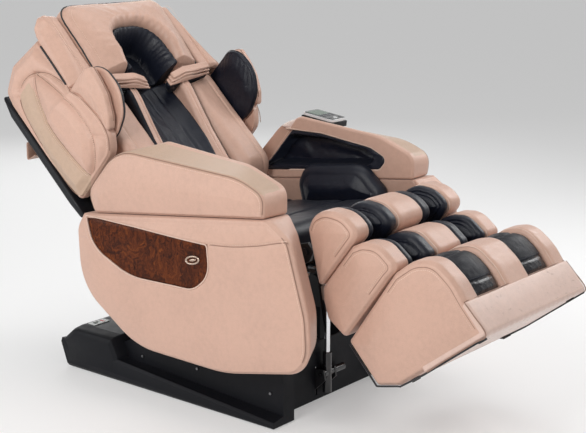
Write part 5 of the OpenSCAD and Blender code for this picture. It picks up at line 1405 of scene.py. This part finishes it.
EDGE_FROM = {"calf_fins_upper": 95, "calf_fins_lower": 95, "foot_fins": 150}
SOLE_CORNER, SOLE_NORMAL = (609.0, 300.0), (0.931, -0.365)


def sewn(start):
    """Picks the part of an outline that carries the double seam: the crest and the edge down to the sole."""
    def keep(p):
        from_sole = -((p[:, 0] - SOLE_CORNER[0]) * SOLE_NORMAL[0] + (p[:, 1] - SOLE_CORNER[1]) * SOLE_NORMAL[1])
        return (p[:, 1] > start) & (from_sole > 30)
    return keep


def fin_outer(seam_line, seed):
    """Outer face of a fin: swollen, with a groove along its seam."""
    def f(g, d):
        return (groove(g, seam_line, 1.2, 2.6) + 4.0 * np.clip((d - 4) / 40, 0, 1)
                + 1.3 * waves(g, 80, seed) * np.clip(d / 30, 0, 1))
    return f


def crest_bend(height, seed):
    """Swollen crest across the fin, with slow waves."""
    def f(p):
        p = p.copy()
        up = np.clip((p[:, 2] - 110) / 50, 0, 1)
        p[:, 2] += up * (height + 1.5 * waves(p[:, :2], 45, seed))
        return p
    return f


def fins(name, side, cuts, body, node, seed):
    """The two outer fins and the middle fin, with their edge cords and the seam over each outer crest."""
    lines = {by: run_of(rounded(inset(side, by)), sewn(EDGE_FROM[name])) for by in (18, 22, 26)}
    outer = pad_shape(in_leg, side, side, cuts, WALL_IN, LEG_X, 18, 20, fine(80), fine(52), 0, 4, walls=6, seam=2.2,
                      steps=7, dome=46, face1=fin_outer(lines[22], seed), bend=crest_bend(2.0, seed))
    cord = run_of(rounded(inset(side, 3.0)), lambda p: p[:, 1] > 78)
    outer.joined(tube_shape(in_leg, at_x(cord, WALL_IN + 8.0), 2.2, slot=1))
    # the slot 3 cord along the crest seam is painted shade of that seam
    outer.joined(tube_shape(in_leg, at_x(lines[18], LEG_X - 4.5), 1.2, slot=3))
    outer.joined(stitch_shape(in_leg, at_x(lines[26], LEG_X - 2.9), slot=2))
    middle = pad_shape(in_leg, side, side, cuts, -DIV_X, DIV_X, 24, 24, fine(80), fine(34), 0, 0, walls=fine(14),
                       steps=7, bend=crest_bend(3.0, seed + 1))
    edges = [tube_shape(in_leg, at_x(cord, s * (DIV_X - 9.0)), 2.2, slot=1) for s in (1, -1)]
    piece = outer.joined(outer.mirrored(), middle, *edges)
    return piece.build(name, [tan_leather, piping, thread, seam_shadow_paint], body, "tan_leather", [node], padded=0.75)


def floor_shape(outline, slot=0):
    """The block between the fins, straight across."""
    line = rounded(outline)
    return prism(in_leg, at_x(line, -WALL_IN - 10.0), at_x(line, WALL_IN + 10.0), slot)


fins("calf_fins_upper", upper_side, fin_cuts["upper"], "leg_rest", "calf_block_upper", 81)
fins("calf_fins_lower", lower_side, fin_cuts["lower"], "leg_rest", "calf_block_lower", 83)
fins("foot_fins", foot_side, fin_cuts["foot"], "foot_rest", "foot_block", 85)
floor_shape(upper_floor).joined(floor_shape(lower_floor)).build(
    "calf_floor", [tan_plain], "leg_rest", "tan_leather", [], padded=0.3)

BAR_X = 292.0
bar_side = [[478, 70, 4], [486, 280, 8], [500, 322.6, 6], [609, 299.6, 13], [538, 54, 6]]


def bar_bend(p):
    """The front strip: soft waves across it, small puckers along the long seam at its far end, and a slack middle."""
    p = p.copy()
    high = np.clip((p[:, 2] - 200) / 60, 0, 1)
    along = np.clip((p[:, 1] - 500) / 108, 0, 1)
    fade = np.sin(math.pi * along) * high
    p[:, 2] += 1.3 * fade * waves(p[:, :2] * np.array([1.0, 0.55]), 70, 91) + 3.0 * fade
    pucker = pleats(p[:, 0] + 900, np.abs(p[:, 1] - 606), 31, 1.5, 16, 93) * high
    p[:, 1] += pucker * (along > 0.5)
    return p


bar = pad_shape(in_leg, bar_side, bar_side, [(480, 70), (538, 60), (609, 299), (490, 300)], -BAR_X, BAR_X, 9, 9,
                fine(74), fine(50), 0, 0, walls=fine(70), steps=6, bend=bar_bend)
bar.joined(floor_shape(foot_floor, 1))


def across_leg(x, along, up):
    """A line straight across the leg rest."""
    return np.column_stack([x, np.full(len(x), along), np.broadcast_to(up, len(x))])


wide = np.linspace(-288, 288, 140)
bar.joined(stitch_shape(in_leg, across_leg(np.linspace(-284, 284, 120), 596.0, 302.7), slot=2, normal=FORWARD_UP))
# slot 3 cords across the bar and down its ends: painted shade of the seams
bar.joined(tube_shape(in_leg, across_leg(wide, 497.2, 319.6 - 4.0 * np.clip((np.abs(wide) - 278) / 10, 0, 1)),
                      1.7, slot=3, ref=(0.0, 0.0, 1.0)))
bar.joined(stitch_shape(in_leg, across_leg(wide[3:-3], 509.0, 320.9), slot=2, normal=FORWARD_UP))
bar_edge = curve([(501, 318), (540, 312), (603, 298), (592, 250), (560, 140), (541, 66)], 3)
# the slot 3 edge cords are painted shade along the bar's side seams
for side in (1, -1):
    bar.joined(tube_shape(in_leg, at_x(bar_edge, side * (BAR_X + 1.0)), 1.8, slot=3))
# the front strip wears the lightened tan: painted highlight
bar.build("foot_bar", [tan_gloss_painted_highlight, tan_plain, thread, seam_shadow_paint], "foot_rest", "tan_leather", [], padded=0.6)
sole = curve([(449, -108), (470, -84), (502, -46)], 3)
binding = Shape(in_leg)
for s in (1, -1):
    run = np.vstack([[(304, -79.5)], sole[:-2], [(505, -44), (537.5, 48), (607, 288)]])
    binding.joined(tube_shape(in_leg, at_x(run, s * (LEG_X - 8)), 3.0))
binding.build("sole_binding", [black_piping_and_gap_shade], "foot_rest", "black_leather", [])

# ---------- leg rest: air pads and foot hoods ---------------------------------------------------


def pad_detail(side, seed):
    """Swollen face inside two close sewn lines that follow the outline, with pulls from the edge."""
    outer_line, inner_line = rounded(inset(side, 17)), rounded(inset(side, 29))

    def f(g, d):
        sewn_lines = groove(g, outer_line, 3.6, 3.6, True) + groove(g, inner_line, 3.6, 3.6, True)
        pulls = pleats(g[..., 0] + 0.6 * g[..., 1], d, 22, 0.9, 24, seed)
        return (10.0 * np.clip(d / 36, 0, 1) ** 0.7 + sewn_lines
                + 1.6 * waves(g, 40, seed) * np.clip(d / 14, 0, 1) + pulls)
    return f


def above_floor(p):
    """Keeps a pad on the block between the fins."""
    p = p.copy()
    p[:, 2] = np.maximum(p[:, 2], FLOOR + 0.6)
    return p


PAD_IN, PAD_OUT = 123, 183
for name, side in (("upper", upper_side), ("lower", lower_side)):
    outline = inset(side, 1.5)
    a = pad_shape(in_leg, outline, outline, fin_cuts[name], DIV_X + 0.4, PAD_IN, 9, 20, fine(76), fine(50), 0, 4,
                  walls=4, steps=8, dome=44, face1=pad_detail(side, 101), bend=above_floor)
    b = pad_shape(in_leg, outline, outline, fin_cuts[name], PAD_OUT, WALL_IN - 0.4, 15, 6, fine(76), fine(50), 4, 0,
                  walls=4, steps=8, dome=44, face0=lambda g, d, s=side: -pad_detail(s, 111)(g, d), bend=above_floor)
    pair("calf_air_pads_" + name, a.joined(b), [black_leather], "leg_rest", "black_leather",
         ["calf_pads"] if name == "upper" else [], padded=0.85)

hood_top = curve([(300, 226), (312, 258), (332, 292), (366, 318), (404, 322), (442, 316), (476, 305), (491, 298)], 3.0)
hood_under = curve([(328, 218), (338, 242), (356, 268), (384, 281), (430, 280), (474, 252)], 3.0)
TOE_FROM = 0.8                  # share of the hood's length where the toe cap starts
n_s, n_x = fine(70), fine(60)
top_line, low_line = even(hood_top, 1.0), even(hood_under, 1.0)
top_line = top_line[np.linspace(0, len(top_line) - 1, n_s).astype(int)]
low_line = low_line[np.linspace(0, len(low_line) - 1, n_s).astype(int)]
hx = np.linspace(DIV_X + 0.6, WALL_IN - 0.6, n_x)
u = (hx - hx.mean()) / (0.5 * (hx[-1] - hx[0]))
arch = 13.0 * (1 - u ** 2) - 5.0 * np.clip((np.abs(u) - 0.86) / 0.14, 0, 1) ** 2
s_frac = np.linspace(0, 1, n_s)
s_col, swell = s_frac[:, None], 1 - u ** 2
dark_seams = (np.exp(-((s_col - 0.30 - 0.10 * swell) / 0.018) ** 2)
              + np.exp(-((s_col - TOE_FROM - 0.03 * swell) / 0.015) ** 2))
fade = np.clip(s_frac / 0.06, 0, 1) * np.clip((1 - s_frac) / 0.05, 0, 1)
spots = np.stack(np.meshgrid(hx, s_frac * 230), -1)
texture = 1.8 * waves(spots, 34, 121) + np.where(s_col > TOE_FROM, 2.0 * waves(spots, 13, 122), 0)
lift = fade[:, None] * (arch[None] + texture) - 4.0 * dark_seams
low_pts = np.stack([np.broadcast_to(hx, (n_s, n_x)), np.broadcast_to(low_line[:, :1], (n_s, n_x)),
                    low_line[:, 1:] + 6.0 * swell], -1)
toe_rows = np.where(np.repeat(np.arange(n_s - 1), n_x - 1) / (n_s - 1) > TOE_FROM, 1, 0)
hood = two_faced(in_leg, cloth_face(top_line, hx, lift), low_pts, [toe_rows, 0, 0])
thread_at = TOE_FROM - 0.025 + 0.03 * swell[3:-3]
hood_thread = np.column_stack([hx[3:-3], np.interp(thread_at, s_frac, top_line[:, 0]),
                               np.interp(thread_at, s_frac, top_line[:, 1]) + arch[3:-3] * 0.97 + 0.8])
hood.joined(stitch_shape(in_leg, hood_thread, slot=2, normal=FORWARD_UP))
pair("foot_hood_pads", hood, [black_matt, black_shine, black_thread], "foot_rest", "black_leather", ["foot_hoods"],
     padded=0.8)

# ---------- remote ------------------------------------------------------------------------------
PITCH, REMOTE_AT = math.radians(14), (387.0, 14, 559)
KEY_AT, KEY_HOLE, ROUND_STEPS = -47, 7.2, 40


def in_remote(p):
    """The remote's frame: origin in the middle of its underside, second axis towards the sitter's front end."""
    p = np.asarray(p, float)
    y, z = p[..., 1], p[..., 2]
    return in_seat(np.stack([p[..., 0] + REMOTE_AT[0],
                             REMOTE_AT[1] + y * math.cos(PITCH) - z * math.sin(PITCH),
                             REMOTE_AT[2] + y * math.sin(PITCH) + z * math.cos(PITCH)], -1))


flat_in_remote = turned(in_remote, [2, 0, 1])


def plate(cx, cy, w, h, r, z0, z1, edge, slots=ALL_SAME, n=12):
    """Small rounded plate on the remote."""
    cuts = [(cx + i * w / 2, cy + j * h / 2) for i, j in ((-1, -1), (1, -1), (1, 1), (-1, 1))]
    c = [[*corner, r] for corner in cuts]
    return pad_shape(flat_in_remote, c, c, cuts, z0, z1, 0.6 * edge, edge, n, n, 0, 0, walls=1, steps=3, slots=slots)


def remote_rings(profile):
    """Round rings of (radius, height) about the middle of the round key."""
    w = round_angles(ROUND_STEPS)
    return np.array([np.column_stack([r * np.cos(w), KEY_AT + r * np.sin(w), np.full(ROUND_STEPS, z)])
                     for r, z in profile])


case = plate(0, 0, 84, 134, 12, 0, 12, 2.6, ([1, 1, 1, 2, 2, 0, 0], 1, 0), 24)
remote = case.build("remote_case", [screen_glass, grey_plastic, silver_plastic], "handset", "remote_body", ["remote"])
cut_away(remote, prism(in_remote, *remote_rings([(KEY_HOLE, 8.0), (KEY_HOLE, 20.0)])))
plate(0, 30, 66, 52, 3, 11.4, 12.5, 0.5).build("remote_screen", [display], "handset", "remote_body", [])
keys, small_keys = Shape(in_remote), [(-26, KEY_AT, 14), (26, KEY_AT, 14)]
for cx, cy, w in [((k - 1) * 24, -4 - 14 * j, 17) for k in range(3) for j in range(2)] + small_keys:
    keys.joined(plate(cx, cy, w, 8, 3.5, 11.0, 13.2, 0.8, n=6))
keys.build("remote_keys", [grey_plastic], "handset", "key", [])
profile = [(0.05, 9.4), (6.9, 9.4), (6.9, 12.6), (6.5, 13.2), (5.6, 13.4), (4.5, 13.2), (0.05, 13.0)]
knob = Shape(in_remote).add(remote_rings(profile), grid_faces(len(profile), ROUND_STEPS, True))
knob.build("remote_round_key", [silver_plastic], "handset_key", "key", ["remote_key"])

# ---------- rigid parts that keep their made shape -------------------------------------------------


def wear(material, data):
    """A finish for a part shown as it was made."""
    if not data.materials:
        data.materials.append(material)
    for k in range(len(data.materials)):
        data.materials[k] = material


SHARP = math.radians(32)
for material, names in (
        (frame_paint, ("base_chassis", "seat_frame", "back_frame", "leg_frame", "massage_carriage")),
        (rubber, ("floor_strips", "wheel_left", "wheel_right", "foot_feet")),
        (grey_plastic, ("power_supply", "arm_runner_left", "arm_runner_right", "massage_motor")),
        (chrome, ("tilt_rod", "recline_rod", "leg_rod")),
        (gloss_black, ("tilt_cylinder", "recline_cylinder", "leg_cylinder")),
        (steel, ("arm_rails", "foot_slides")), (pale_plastic, ("upper_rollers", "lower_rollers")),
        (dark_zinc, ("base_screws",)), (base_plastic, ("air_pump",)), (board_green, ("control_board",)),
        (red_plastic, ("power_switch",))):
    for name in names:
        wear(material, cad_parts[name].data)


def dressed(node, name, material, body, width):
    """A copy of a made part with its sharp edges eased by a small bevel."""
    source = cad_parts[node].data
    bm = bmesh.new()
    bm.from_mesh(source)
    bmesh.ops.remove_doubles(bm, verts=bm.verts, dist=0.00002)
    bmesh.ops.dissolve_limit(bm, angle_limit=math.radians(1), verts=bm.verts, edges=bm.edges)
    data = bpy.data.meshes.new(name)
    bm.to_mesh(data)
    bm.free()
    data.materials.clear()
    data.materials.append(material)
    data.polygons.foreach_set("material_index", np.zeros(len(data.polygons), np.int32))
    data.polygons.foreach_set("use_smooth", np.ones(len(data.polygons), bool))
    data.set_sharp_from_angle(angle=SHARP)
    piece = shown(name, data)
    mod = piece.modifiers.new("eased", "BEVEL")
    mod.width, mod.segments, mod.limit_method, mod.angle_limit = width, 2, "ANGLE", SHARP
    mod.harden_normals = True
    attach(piece, body)
    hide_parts(node)
    return piece


dressed("base_cover", "base_housing", base_plastic, "base", 0.0022)
dressed("front_plate", "base_front_plate", base_plastic, "base", 0.0014)
dressed("inlet_plate", "inlet_panel", pale_plastic, "base", 0.0006)
dressed("remote_dock", "remote_holder", back_plastic, "arm_l", 0.001)

# ---------- floor and finish ---------------------------------------------------------------
FLOOR_HALF = 30
floor = bpy.data.meshes.new("floor_plane")
floor.from_pydata([(x * FLOOR_HALF, y * FLOOR_HALF, 0) for x, y in ((-1, -1), (1, -1), (1, 1), (-1, 1))], [],
                  [(0, 1, 2, 3)])
plane = shown("floor_plane", floor)
floor.materials.append(floor_paint)
